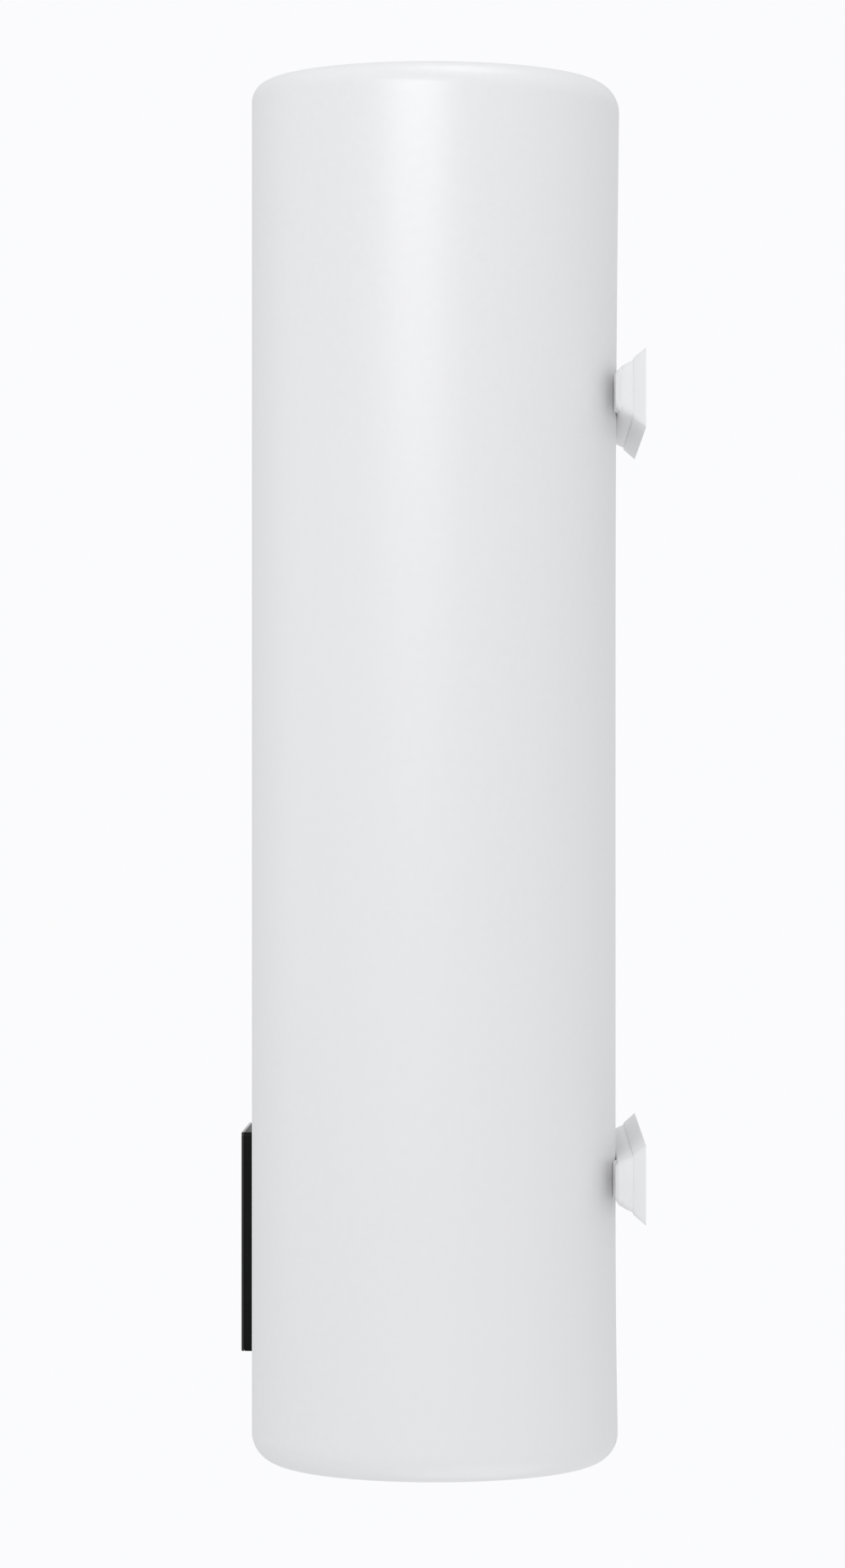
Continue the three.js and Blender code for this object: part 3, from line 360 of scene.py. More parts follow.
class Surface:
    """A Principled material whose colour, roughness and relief vary over the surface.

    Scales count features to the metre, and the distances of relief are in metres.
    """

    SOFT_DETAIL = 4.0
    MOTTLE_RANGE = (0.35, 0.65)
    ROUGHNESS_RANGE = (0.3, 0.7)
    EDGE_RANGE = (0.52, 0.58)
    EDGE_AMOUNT = 0.6

    def __init__(self, name, colour, roughness, metallic=0.0):
        self.material = bpy.data.materials.new(name)
        self.material.use_nodes = True
        self.nodes = self.material.node_tree.nodes
        self.links = self.material.node_tree.links
        self.shader = self.nodes["Principled BSDF"]
        self.colour = colour
        self.roughness = roughness
        self.shader.inputs["Base Color"].default_value = (*colour, 1)
        self.shader.inputs["Roughness"].default_value = roughness
        self.shader.inputs["Metallic"].default_value = metallic
        self.place = self.nodes.new("ShaderNodeTexCoord").outputs["Object"]

    def specular(self, level):
        self.shader.inputs["Specular IOR Level"].default_value = level

    def noise(self, scale, detail, stretch=(1, 1, 1)):
        mapping = self.nodes.new("ShaderNodeMapping")
        mapping.inputs["Scale"].default_value = stretch
        texture = self.nodes.new("ShaderNodeTexNoise")
        texture.inputs["Scale"].default_value = scale
        texture.inputs["Detail"].default_value = detail
        self.links.new(self.place, mapping.inputs["Vector"])
        self.links.new(mapping.outputs["Vector"], texture.inputs["Vector"])
        return texture.outputs["Fac"]

    def cells(self, scale, output):
        texture = self.nodes.new("ShaderNodeTexVoronoi")
        texture.inputs["Scale"].default_value = scale
        self.links.new(self.place, texture.inputs["Vector"])
        return texture.outputs[output]

    def ramp(self, source, low, high, out_low, out_high):
        node = self.nodes.new("ShaderNodeMapRange")
        node.inputs["From Min"].default_value = low
        node.inputs["From Max"].default_value = high
        node.inputs["To Min"].default_value = out_low
        node.inputs["To Max"].default_value = out_high
        self.links.new(source, node.inputs["Value"])
        return node.outputs["Result"]

    def mix_colour(self, factor, other):
        """Mixes another colour over what the surface has so far."""
        node = self.nodes.new("ShaderNodeMix")
        node.data_type = "RGBA"
        start, finish = [socket for socket in node.inputs if socket.type == "RGBA"]
        finish.default_value = (*other, 1)
        colour = self.shader.inputs["Base Color"]
        if colour.is_linked:
            self.links.new(colour.links[0].from_socket, start)
        else:
            start.default_value = (*self.colour, 1)
        self.links.new(factor, node.inputs["Factor"])
        mixed = next(socket for socket in node.outputs if socket.type == "RGBA")
        self.links.new(mixed, colour)

    def mottle(self, scale, other, amount=1.0):
        """Lets the colour drift towards another in soft patches."""
        patches = self.noise(scale, self.SOFT_DETAIL)
        self.mix_colour(self.ramp(patches, *self.MOTTLE_RANGE, 0.0, amount), other)

    def vary_roughness(self, scale, amount):
        patches = self.noise(scale, self.SOFT_DETAIL)
        least, most = self.roughness - amount, self.roughness + amount
        value = self.ramp(patches, *self.ROUGHNESS_RANGE, least, most)
        self.links.new(value, self.shader.inputs["Roughness"])

    def relief(self, height, distance, strength):
        """Lays one more layer of small bumps over the surface."""
        node = self.nodes.new("ShaderNodeBump")
        node.inputs["Distance"].default_value = distance
        node.inputs["Strength"].default_value = strength
        self.links.new(height, node.inputs["Height"])
        normal = self.shader.inputs["Normal"]
        if normal.is_linked:
            self.links.new(normal.links[0].from_socket, node.inputs["Normal"])
        self.links.new(node.outputs["Normal"], normal)

    def lightened_edges(self, other):
        """Lightens convex edges towards another colour, where the mesh's pointiness is high."""
        point = self.nodes.new("ShaderNodeNewGeometry").outputs["Pointiness"]
        self.mix_colour(self.ramp(point, *self.EDGE_RANGE, 0.0, self.EDGE_AMOUNT), other)


def powder_coat():
    surface = Surface("casing_white", (0.845, 0.845, 0.853), roughness=0.36)
    surface.specular(0.85)
    surface.mottle(2.5, (0.83, 0.83, 0.837))
    surface.mottle(160, (0.857, 0.857, 0.863), amount=0.5)
    surface.vary_roughness(6, amount=0.03)
    surface.relief(surface.noise(420, detail=2.0), distance=0.00006, strength=0.35)
    surface.relief(surface.noise(2200, detail=2.0), distance=0.00002, strength=0.3)
    return surface.material


def bracket_paint():
    surface = Surface("bracket_white", (0.885, 0.885, 0.89), roughness=0.4)
    surface.mottle(30, (0.865, 0.865, 0.87))
    # convex edges mixed a little lighter
    surface.lightened_edges((0.9, 0.9, 0.905))
    surface.vary_roughness(40, amount=0.05)
    surface.relief(surface.noise(700, detail=2.0), distance=0.00005, strength=0.35)
    return surface.material


def white_plastic():
    surface = Surface("white_plastic", (0.82, 0.82, 0.81), roughness=0.48)
    surface.mottle(12, (0.805, 0.805, 0.79))
    surface.vary_roughness(60, amount=0.04)
    surface.relief(surface.noise(1800, detail=3.0), distance=0.00004, strength=0.5)
    return surface.material


def black_plastic():
    surface = Surface("black_plastic", (0.005, 0.005, 0.0055), roughness=0.36)
    surface.specular(0.08)
    surface.mottle(40, (0.008, 0.008, 0.0085))
    surface.vary_roughness(90, amount=0.05)
    surface.relief(surface.noise(2400, detail=3.0), distance=0.00003, strength=0.4)
    return surface.material


def black_glass():
    surface = Surface("black_glass", (0.006, 0.006, 0.007), roughness=0.06)
    surface.specular(0.4)
    surface.mottle(8, (0.009, 0.009, 0.010))
    surface.vary_roughness(14, amount=0.02)
    surface.relief(surface.noise(6, detail=1.0), distance=0.00002, strength=0.1)
    return surface.material


def grey_plastic():
    surface = Surface("grey_plastic", (0.27, 0.28, 0.29), roughness=0.5)
    surface.mottle(60, (0.24, 0.25, 0.26))
    surface.vary_roughness(90, amount=0.06)
    surface.relief(surface.noise(1500, detail=3.0), distance=0.00004, strength=0.5)
    return surface.material


def foam():
    surface = Surface("foam", (0.80, 0.66, 0.26), roughness=0.95)
    surface.mottle(25, (0.68, 0.52, 0.17))
    surface.relief(surface.cells(700, "Distance"), distance=0.0008, strength=0.7)
    return surface.material


def tank_enamel():
    surface = Surface("tank_enamel", (0.05, 0.11, 0.17), roughness=0.22)
    surface.mottle(18, (0.04, 0.085, 0.13))
    specks = surface.ramp(surface.cells(900, "Distance"), 0.0, 0.12, out_low=0.5, out_high=0.0)
    surface.mix_colour(specks, (0.2, 0.3, 0.38))
    surface.vary_roughness(30, amount=0.06)
    surface.relief(surface.noise(120, detail=2.0), distance=0.0002, strength=0.4)
    return surface.material


def bare_steel():
    surface = Surface("bare_steel", (0.48, 0.48, 0.49), roughness=0.38, metallic=1.0)
    surface.mottle(35, (0.36, 0.36, 0.37))
    surface.vary_roughness(50, amount=0.1)
    surface.relief(surface.noise(600, detail=2.0, stretch=(1, 1, 12)), distance=0.00005, strength=0.4)
    return surface.material


def zinc_steel():
    surface = Surface("zinc_steel", (0.60, 0.61, 0.60), roughness=0.34, metallic=1.0)
    split = surface.nodes.new("ShaderNodeSeparateColor")
    surface.links.new(surface.cells(320, "Color"), split.inputs["Color"])
    grains = surface.ramp(split.outputs["Red"], 0, 1, out_low=0.0, out_high=0.5)
    surface.mix_colour(grains, (0.46, 0.47, 0.48))
    # convex edges mixed a little lighter
    surface.lightened_edges((0.75, 0.75, 0.74))
    surface.vary_roughness(80, amount=0.08)
    surface.relief(surface.noise(900, detail=2.0), distance=0.00004, strength=0.3)
    return surface.material


def copper():
    surface = Surface("copper", (0.72, 0.38, 0.25), roughness=0.3, metallic=1.0)
    surface.mottle(40, (0.42, 0.2, 0.13), amount=0.8)
    surface.vary_roughness(70, amount=0.1)
    surface.relief(surface.noise(900, detail=2.0), distance=0.00005, strength=0.4)
    return surface.material


def magnesium():
    surface = Surface("magnesium", (0.34, 0.34, 0.34), roughness=0.6, metallic=1.0)
    surface.mottle(90, (0.22, 0.22, 0.21))
    surface.relief(surface.noise(450, detail=4.0), distance=0.0003, strength=0.6)
    return surface.material


def black_rubber():
    surface = Surface("black_rubber", (0.02, 0.02, 0.02), roughness=0.75)
    surface.mottle(80, (0.032, 0.032, 0.032))
    surface.relief(surface.noise(1500, detail=3.0), distance=0.00006, strength=0.5)
    return surface.material


def moulded(name, colour, shade):
    surface = Surface(name, colour, roughness=0.3)
    surface.mottle(70, shade)
    surface.vary_roughness(120, amount=0.05)
    surface.relief(surface.noise(1600, detail=2.0), distance=0.00003, strength=0.3)
    return surface.material


def circuit_board():
    surface = Surface("circuit_board", (0.008, 0.12, 0.045), roughness=0.35)
    tracks = surface.nodes.new("ShaderNodeTexBrick")
    tracks.inputs["Scale"].default_value = 90
    tracks.inputs["Color1"].default_value = (0, 0, 0, 1)
    tracks.inputs["Color2"].default_value = (0, 0, 0, 1)
    tracks.inputs["Mortar"].default_value = (1, 1, 1, 1)
    surface.links.new(surface.place, tracks.inputs["Vector"])
    lines = surface.ramp(tracks.outputs["Fac"], 0, 1, out_low=0.0, out_high=0.6)
    surface.mix_colour(lines, (0.02, 0.22, 0.09))
    surface.mottle(40, (0.006, 0.09, 0.03), amount=0.6)
    surface.relief(tracks.outputs["Fac"], distance=0.00004, strength=0.8)
    return surface.material


def cable(name, colour, shade):
    surface = Surface(name, colour, roughness=0.55)
    surface.mottle(60, shade)
    surface.vary_roughness(80, amount=0.06)
    surface.relief(surface.noise(1200, detail=2.0), distance=0.00004, strength=0.4)
    return surface.material


def printed_white():
    surface = Surface("printed_white", (0.55, 0.56, 0.57), roughness=0.4)
    surface.mottle(300, (0.48, 0.49, 0.5))
    surface.relief(surface.noise(2500, detail=2.0), distance=0.00001, strength=0.3)
    return surface.material


RED = {"colour": (0.55, 0.03, 0.02), "shade": (0.46, 0.02, 0.015)}
BLUE = {"colour": (0.02, 0.12, 0.45), "shade": (0.015, 0.09, 0.36)}
MATERIALS = {
    "casing_white": powder_coat(),
    "bracket_white": bracket_paint(),
    "white_plastic": white_plastic(),
    "black_plastic": black_plastic(),
    "black_glass": black_glass(),
    "grey_plastic": grey_plastic(),
    "foam": foam(),
    "tank_enamel": tank_enamel(),
    "bare_steel": bare_steel(),
    "zinc_steel": zinc_steel(),
    "copper": copper(),
    "magnesium": magnesium(),
    "black_rubber": black_rubber(),
    "hot_red": moulded("hot_red", **RED),
    "cold_blue": moulded("cold_blue", **BLUE),
    "button_red": moulded("button_red", **RED),
    "circuit_board": circuit_board(),
    "grey_cable": cable("grey_cable", (0.16, 0.16, 0.17), (0.13, 0.13, 0.14)),
    "earth_cable": cable("earth_cable", (0.36, 0.45, 0.03), (0.05, 0.25, 0.03)),
    "printed_white": printed_white(),
}


def dress(obj, slot, body, *nodes, material=None):
    """Gives a new piece its material and its body, and hides the CAD nodes that it stands for."""
    obj.data.materials.clear()
    obj.data.materials.append(MATERIALS[material or slot])
    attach(obj, body)
    if nodes:
        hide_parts(*nodes)


# ---- Casing and its two caps -------------------------------------------------


def rear_swell(height):
    up = max(0.0, (height - TOP_SWELL_FROM) / (HEIGHT - TOP_SWELL_FROM))
    down = max(0.0, (BOTTOM_SWELL_FROM - height) / BOTTOM_SWELL_FROM)
    return TOP_SWELL * up * up + BOTTOM_SWELL * down * down


def stadium(inset, steps=SIDE_STEPS, groove=0.0):
    """The casing's plan, drawn in by an inset, with a narrow seam up the middle of the rear."""
    radius = DEPTH / 2 - inset
    flat_end = ROUND_X - FLAT_MARGIN
    points = []
    for i in range(steps + 1):
        angle = math.radians(-90 + 180 * i / steps)
        points.append((ROUND_X + radius * math.cos(angle), radius * math.sin(angle)))
    points.append((flat_end, radius))
    for x, share in SEAM_SHAPE:
        points.append((x * MM, radius - share * groove))
    points.append((-flat_end, radius))
    for i in range(steps + 1):
        angle = math.radians(90 + 180 * i / steps)
        points.append((-ROUND_X + radius * math.cos(angle), radius * math.sin(angle)))
    points.append((-flat_end, -radius))
    points.append((flat_end, -radius))
    return points


def plan_point(inset, height, index, groove):
    """One point of the casing's plan, drawn in by an inset and pushed out by the rear swell."""
    x, y = stadium(inset, groove=groove)[index]
    back = max(0.0, y) / (DEPTH / 2 - inset)
    return Vector((x, MID_Y + y + back * rear_swell(height), BOTTOM + height))


def quarter(centre, level, radius, up, steps):
    """A fillet in [inset, height], from the flat end round to the upright wall."""
    points = []
    for i in range(steps + 1):
        angle = math.pi / 2 * i / steps
        points.append((centre - radius * math.sin(angle), level + up * radius * math.cos(angle)))
    return points


def casing_face(sheet, steps, fillet):
    """One face of the sheet, from the lower opening to the upper one, for one top fillet."""
    bottom = quarter(BOTTOM_FILLET, BOTTOM_FILLET, BOTTOM_FILLET - sheet, -1, steps)
    top = quarter(fillet, HEIGHT - fillet, fillet - sheet, 1, steps)
    top.reverse()
    low, high = BOTTOM_FILLET + WALL_MARGIN, HEIGHT - TOP_FILLET_REAR - WALL_MARGIN
    wall = [(sheet, low + (high - low) * i / WALL_LEVELS) for i in range(WALL_LEVELS + 1)]
    return [(BOTTOM_OPENING, sheet), *bottom, *wall, *top, (TOP_OPENING, HEIGHT - sheet)]


def casing_section(y):
    """The sheet's closed section at a place round its plan, where the top fillet is known."""
    back = (1 + y / (DEPTH / 2)) / 2
    fillet = TOP_FILLET_FRONT + (TOP_FILLET_REAR - TOP_FILLET_FRONT) * back
    outer = casing_face(0, FILLET_STEPS_OUTSIDE, fillet)
    inner = casing_face(SHEET, FILLET_STEPS_INSIDE, fillet)
    return [*outer, *reversed(inner)]


def make_casing():
    """The sheet shell, with a window behind the panel and holes for the brackets' bolts."""
    sections = [casing_section(y) for _, y in stadium(0)]
    rings = []
    for level in range(len(sections[0])):
        ring = []
        for place, section in enumerate(sections):
            inset, height = section[level]
            on_seam = inset == 0 and SEAM_MARGIN < height < HEIGHT - SEAM_MARGIN
            ring.append(plan_point(inset, height, place, SEAM_DEPTH if on_seam else 0.0))
        rings.append(ring)
    casing = skin("casing_skin", rings, loop=True)
    low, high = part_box("panel_housing")
    window = box("window", (-WINDOW_HALF_WIDTH, low.y, low.z + WINDOW_MARGIN),
                 (WINDOW_HALF_WIDTH, high.y, high.z - WINDOW_MARGIN))
    holes = []
    for name in BRACKETS:
        for side in ("left", "right"):
            at = centre_of(f"{name}_bracket_bolt_{side}")
            outline = circle(at.x, at.z, CASING_HOLE_RADIUS, sides=32)
            holes.append(prism("hole", outline, BACK_Y - CASING_HOLE_REACH, BACK_Y + CASING_HOLE_REACH, "Y"))
    cut(casing, [window, *holes])
    dress(casing, "casing_white", "heater", "casing_shell")


def plate_rings(inset, low, high, edge, crown):
    """A stadium plate with rounded edges and a crown that lifts its middle."""
    soft = edge * 0.3
    shape = [(inset + edge, low), (inset, low + edge), (inset, high - edge)]
    shape += [(inset + soft, high - soft), (inset + edge, high)]
    for share in LID_SHARES:
        lift = crown * math.sin(share * math.pi / 2)
        shape.append((inset + edge + share * (DEPTH / 2 - inset - edge), high + lift))
    rings = []
    for drawn_in, height in shape:
        rings.append([Vector((x, MID_Y + y, height)) for x, y in stadium(drawn_in, CAP_STEPS)])
    return rings


def make_top_cap():
    """The lid inside the casing's upper opening."""
    top = BOTTOM + HEIGHT
    rings = plate_rings(TOP_OPENING + LID_GAP, top - LID_LOW, top - LID_HIGH, LID_EDGE, LID_CROWN)
    cap = skin("top_lid", rings)
    dress(cap, "casing_white", "heater", "top_cap")


def make_bottom_cap():
    """The lower end plate, with the ledge of the service opening, holes for cups, and screw posts."""
    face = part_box("bottom_cap")[0].z
    low, high = face - CUTTER_MARGIN, face + CAP_THROUGH
    gland, cover = centre_of("cable_gland"), centre_of("service_cover")
    plan = [(x, MID_Y + y) for x, y in stadium(BOTTOM_OPENING + CAP_GAP, CAP_STEPS)]
    body = prism("bottom_plate", plan, face, face + CAP_THICKNESS)
    join(body, [prism("ledge", rounded_rectangle(0, cover.y, *LEDGE), face, face + LEDGE_HEIGHT)])
    tools = []
    for name in WATER:
        at = centre_of(f"{name}_nipple")
        tools.append(prism("hole", circle(at.x, at.y, WATER_HOLE_RADIUS, sides=64), low, high))
    tools.append(prism("hole", circle(gland.x, gland.y, GLAND_HOLE_RADIUS, sides=64), low, high))
    tools.append(prism("seat", rounded_rectangle(0, cover.y, *SEAT), low, face + SEAT_DEPTH))
    tools.append(prism("opening", rounded_rectangle(0, cover.y, *SERVICE_OPENING), low, high))
    cut(body, tools)
    posts, bores = [], []
    for name in SCREWS:
        at = centre_of(name)
        outside = circle(at.x, at.y, POST_RADIUS, sides=32)
        inside = circle(at.x, at.y, POST_BORE_RADIUS, sides=24)
        posts.append(prism("post", outside, face + SEAT_DEPTH, face + POST_TOP))
        bores.append(prism("bore", inside, face, face + POST_BORE_TOP))
    join(body, posts)
    cut(body, bores)
    bevel(body, CAP_BEVEL, segments=2)
    dress(body, "white_plastic", "heater", "bottom_cap")


def make_cup(name, node, slot, radius, flange, hole):
    """A moulded cup that opens downward, with a round mouth, a little draft and a flange."""
    low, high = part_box(node)
    at = centre_of(node)
    height = high.z - low.z
    inner, depth = radius - CUP_WALL, height - CUP_WALL
    profile = [(radius, height - CUP_ROUND), (radius, CAP_THICKNESS)]
    if flange:
        profile += [(radius + flange, CAP_THICKNESS), (radius + flange, CUP_LIP / 2)]
    profile += [(radius + flange - CUP_LIP / 2, 0), (inner + CUP_LIP, 0)]
    angles = [math.pi / 2 * i / CUP_STEPS for i in range(CUP_STEPS + 1)]
    for angle in angles[1:]:
        profile.append((
            inner + CUP_LIP - CUP_LIP * math.sin(angle),
            CUP_LIP - CUP_LIP * math.cos(angle),
        ))
    for angle in angles:
        profile.append((
            inner - CUP_ROUND + CUP_ROUND * math.cos(angle) - CUP_DRAFT,
            depth - CUP_ROUND + CUP_ROUND * math.sin(angle),
        ))
    profile += [(hole + CUP_CHAMFER, depth), (hole, depth + CUP_CHAMFER)]
    profile += [(hole, height), (radius - CUP_ROUND, height)]
    cup = lathe(name, profile, (at.x, at.y, low.z), CUP_SIDES)
    dress(cup, slot, "heater", node)


def cover_groove(x, y, width, depth, level):
    outline = rounded_rectangle(x, y, width, depth, GROOVE_END, steps=6)
    return prism("groove", outline, level - CUTTER_MARGIN, level + GROOVE_DEPTH)


def make_service_cover():
    """The plate under the service opening, with countersunk screw holes and moulded grooves."""
    low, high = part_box("service_cover")
    middle = centre_of("service_cover")
    outline = rounded_rectangle(0, middle.y, high.x - low.x, high.y - low.y, COVER_CORNER, steps=12)
    body = prism("service_lid", outline, low.z, high.z)
    tools = []
    for name in SCREWS:
        at = centre_of(name)
        profile = [(radius * MM, height * MM) for radius, height in COUNTERSINK]
        tools.append(lathe("countersink", profile, (at.x, at.y, low.z), sides=32))
    for side in (-1, 1):
        tools.append(cover_groove(0, middle.y + side * LONG_GROOVE_Y, LONG_GROOVE, GROOVE_WIDTH, low.z))
    for i in range(SHORT_GROOVES):
        x = (i - SHORT_GROOVES // 2) * SHORT_GROOVE_PITCH
        tools.append(cover_groove(x, middle.y, GROOVE_WIDTH, SHORT_GROOVE, low.z))
    cut(body, tools)
    bevel(body, COVER_BEVEL, segments=2)
    dress(body, "white_plastic", "cover", "service_cover")


def make_cover_screw(name):
    """A pan head with a cross recess, on a plain shaft."""
    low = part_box(name)[0]
    at = centre_of(name)
    profile = [(share * SCREW_HEAD_RADIUS, height * MM) for share, height in SCREW_HEAD]
    profile += [(radius * MM, height * MM) for radius, height in SCREW_SHAFT]
    screw = lathe(name + "_head", profile, (at.x, at.y, low.z), sides=40)
    arms = []
    for x, y in ((RECESS_LONG, RECESS_SHORT), (RECESS_SHORT, RECESS_LONG)):
        arms.append(box("arm", (at.x - x, at.y - y, low.z - CUTTER_MARGIN),
                        (at.x + x, at.y + y, low.z + RECESS_DEPTH)))
    cut(screw, arms)
    bevel(screw, SCREW_BEVEL, segments=2)
    dress(screw, "zinc_steel", "cover", name)


# ---- Wall brackets -----------------------------------------------------------


def upright_ring(x, z, width, height, y, corner, steps=6):
    """A rounded rectangle that faces the wall, as a ring of points."""
    return [Vector((a, y, b)) for a, b in rounded_rectangle(x, z, width, height, corner, steps)]


def tray_ring(low, high, y, inset, corner):
    x, z = (low.x + high.x) / 2, (low.z + high.z) / 2
    return upright_ring(x, z, high.x - low.x - 2 * inset, high.z - low.z - 2 * inset, y, corner)


def tray_rings(low, high, curve, land, corner, base, base_shape):
    """One face of the pressing, from its rim at the wall to its base."""
    first, growth = corner
    rings = []
    for depth, inset in curve:
        corner_radius = (first + depth * growth) * MM
        rings.append(tray_ring(low, high, WALL_Y - depth * MM, inset * MM + land, corner_radius))
    for lift, inset, corner_radius in base_shape:
        rings.append(tray_ring(low, high, base + lift * MM, inset * MM, corner_radius * MM))
    return rings


def foot_solid(name, side, low, high, inward, lift):
    """The end of the tray that reaches forward round the casing's curve."""
    z = (low.z + high.z) / 2
    rings = []
    for depth, inset in FOOT_CURVE:
        end = high.x - inset * MM - inward
        start = FOOT_START + inward
        height = high.z - low.z - 2 * (inset * MM + inward)
        rings.append(upright_ring(side * (start + end) / 2, z, end - start, height,
                                  WALL_Y - depth * MM + lift, FOOT_CORNER))
    return skin(name, rings)


def spacer_solid(side, z, base):
    """Fills the wedge between the tray's base and the casing, where the casing curves away."""
    radius = DEPTH / 2 + SPACER_GAP
    swell = rear_swell(z - BOTTOM)
    narrowest = math.asin((SPACER_START - ROUND_X) / radius)
    widest = math.asin((SPACER_END - ROUND_X) / radius)
    inside = base + PRESSED_SHEET / 2
    outline = [(side * SPACER_START, inside), (side * SPACER_END, inside)]
    for i in range(SPACER_STEPS + 1):
        angle = widest + (narrowest - widest) * i / SPACER_STEPS
        outline.append((
            side * (ROUND_X + radius * math.sin(angle)),
            MID_Y + swell + radius * math.cos(angle),
        ))
    return prism("spacer", outline, z - SPACER_HALF_HEIGHT, z + SPACER_HALF_HEIGHT)


def make_bracket(name):
    """A pressed tray with a flared rim, a hollow foot at each end and spacers on its base."""
    low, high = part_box(f"{name}_bracket")
    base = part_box(f"{name}_bracket_bolt_left")[1].y - BOLT_HEAD - PRESSED_SHEET
    outer = tray_rings(low, high, TRAY_CURVE, 0, OUTER_CORNER, base, OUTER_BASE)
    inner = tray_rings(low, high, TRAY_CURVE[:-1], RIM_LAND, INNER_CORNER, base + PRESSED_SHEET, INNER_BASE)
    tray = skin(f"{name}_tray", [*reversed(outer), *inner])
    feet, hollows, spacers = [], [], []
    for side in (-1, 1):
        feet.append(foot_solid("foot", side, low, high, 0.0, 0.0))
        hollows.append(foot_solid("hollow", side, low, high, PRESSED_SHEET, PRESSED_SHEET))
        hollows.append(bolt_hole(name, side, base))
        spacers.append(spacer_solid(side, (low.z + high.z) / 2, base))
    join(tray, feet)
    cut(tray, hollows)
    join(tray, spacers)
    dress(tray, "bracket_white", "heater", f"{name}_bracket")


def bolt_hole(name, side, base):
    at = centre_of(f"{name}_bracket_bolt_{'left' if side < 0 else 'right'}")
    outline = circle(at.x, at.z, BOLT_HOLE_RADIUS, sides=36)
    return prism("hole", outline, base - BOLT_HOLE_FRONT, base + BOLT_HOLE_REAR, "Y")


def make_hook_plate(name):
    """A plate with two slots for wall hooks and two round holes."""
    low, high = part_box(f"{name}_hook_plate")
    x, z = (low.x + high.x) / 2, (low.z + high.z) / 2
    outline = rounded_rectangle(x, z, high.x - low.x, high.z - low.z, HOOK_PLATE_CORNER)
    plate = prism(f"{name}_slotted_plate", outline, low.y, high.y, "Y")
    front, rear = low.y - CUTTER_MARGIN, high.y + CUTTER_MARGIN
    tools = []
    for side in (-1, 1):
        slot = rounded_rectangle(side * HOOK_SLOT_X, z, *HOOK_SLOT)
        tools.append(prism("slot", slot, front, rear, "Y"))
        access = circle(side * ACCESS_HOLE_X, z, ACCESS_HOLE_RADIUS)
        tools.append(prism("access", access, front, rear, "Y"))
    cut(plate, tools)
    bevel(plate, HOOK_PLATE_BEVEL, segments=2)
    dress(plate, "zinc_steel", "heater", f"{name}_hook_plate")


# ---- Control panel -----------------------------------------------------------


def make_panel():
    """The frame and its tub, which holds the display board, and the glass in front of them."""
    low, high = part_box("panel_housing")
    middle = (low.z + high.z) / 2
    back = CASING_LOW.y - PANEL_GAP
    face = rounded_rectangle(0, middle, high.x - low.x, high.z - low.z, PANEL_CORNER, PANEL_STEPS)
    housing = prism("panel_frame", face, low.y, back, "Y")
    tub = box("tub", (-TUB_HALF_WIDTH, back - PANEL_OVERLAP, middle - TUB_HALF_HEIGHT),
              (TUB_HALF_WIDTH, high.y, middle + TUB_HALF_HEIGHT))
    inside_width, inside_height = TUB_HALF_WIDTH - TUB_WALL, TUB_HALF_HEIGHT - TUB_WALL
    cavity = box("cavity", (-inside_width, low.y - CUTTER_MARGIN, middle - inside_height),
                 (inside_width, high.y - TUB_WALL, middle + inside_height))
    cable_slot = box("slot", (-CABLE_SLOT_HALF_WIDTH, high.y - CABLE_SLOT_FRONT, middle - CABLE_SLOT_LOW),
                     (CABLE_SLOT_HALF_WIDTH, high.y - CABLE_SLOT_REAR, middle - CABLE_SLOT_HIGH))
    join(housing, [tub])
    cut(housing, [cavity, cable_slot])
    bevel(housing, PANEL_BEVEL, segments=3)
    dress(housing, "black_plastic", "heater", "panel_housing")
    low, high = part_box("panel_glass")
    glass = prism("panel_front", face, low.y, high.y, "Y")
    bevel(glass, GLASS_BEVEL, segments=4)
    dress(glass, "black_glass", "heater", "panel_glass")
    make_panel_marks(low.y, middle)


def ring_mark(name, y, z, radius, width, start=0, sweep=360):
    """A printed ring or arc, as a thin raised band."""
    steps = int(sweep / DEGREES_PER_STEP)
    closed = sweep >= 360
    rings = []
    for i in range(steps if closed else steps + 1):
        angle = math.radians(start + sweep * i / steps)
        across, up = math.cos(angle), math.sin(angle)
        rings.append([
            Vector(((radius + side * width / 2) * across, y + lift, z + (radius + side * width / 2) * up))
            for side, lift in ((-1, 0), (1, 0), (1, -PRINT), (-1, -PRINT))
        ])
    return skin(name, rings, loop=closed)


def bar_mark(name, x, y, z, width, height):
    outline = rounded_rectangle(x, z, width, height, min(width, height) * BAR_ROUNDING, steps=4)
    return prism(name, outline, y - PRINT, y, "Y")


def make_panel_marks(face, middle):
    """Plus, minus and power signs and a row of level marks, printed on the glass."""
    y = face - PRINT_GAP
    power, plus, minus = middle + POWER_Z, middle + PLUS_Z, middle + MINUS_Z
    pieces = [
        ring_mark("sign_power_ring", y, power, POWER_RADIUS, SIGN_LINE, POWER_START, POWER_SWEEP),
        bar_mark("sign_power_bar", 0, y, middle + POWER_BAR_Z, SIGN_LINE, POWER_BAR),
        ring_mark("sign_plus_ring", y, plus, SIGN_RADIUS, SIGN_RING),
        bar_mark("sign_plus_across", 0, y, plus, SIGN_LENGTH, SIGN_LINE),
        bar_mark("sign_plus_up", 0, y - PRINT_STEP, plus, SIGN_LINE, SIGN_LENGTH),
        ring_mark("sign_minus_ring", y, minus, SIGN_RADIUS, SIGN_RING),
        bar_mark("sign_minus", 0, y, minus, SIGN_LENGTH, SIGN_LINE),
    ]
    for i in range(LEVELS):
        x = (i - LEVELS // 2) * LEVEL_PITCH
        pieces.append(bar_mark(f"sign_level_{i + 1}", x, y, middle + LEVEL_Z, LEVEL_WIDTH, LEVEL_HEIGHT))
    for piece in pieces:
        dress(piece, "white_plastic", "heater", material="printed_white")


# ---- Water connections and the gland -----------------------------------------


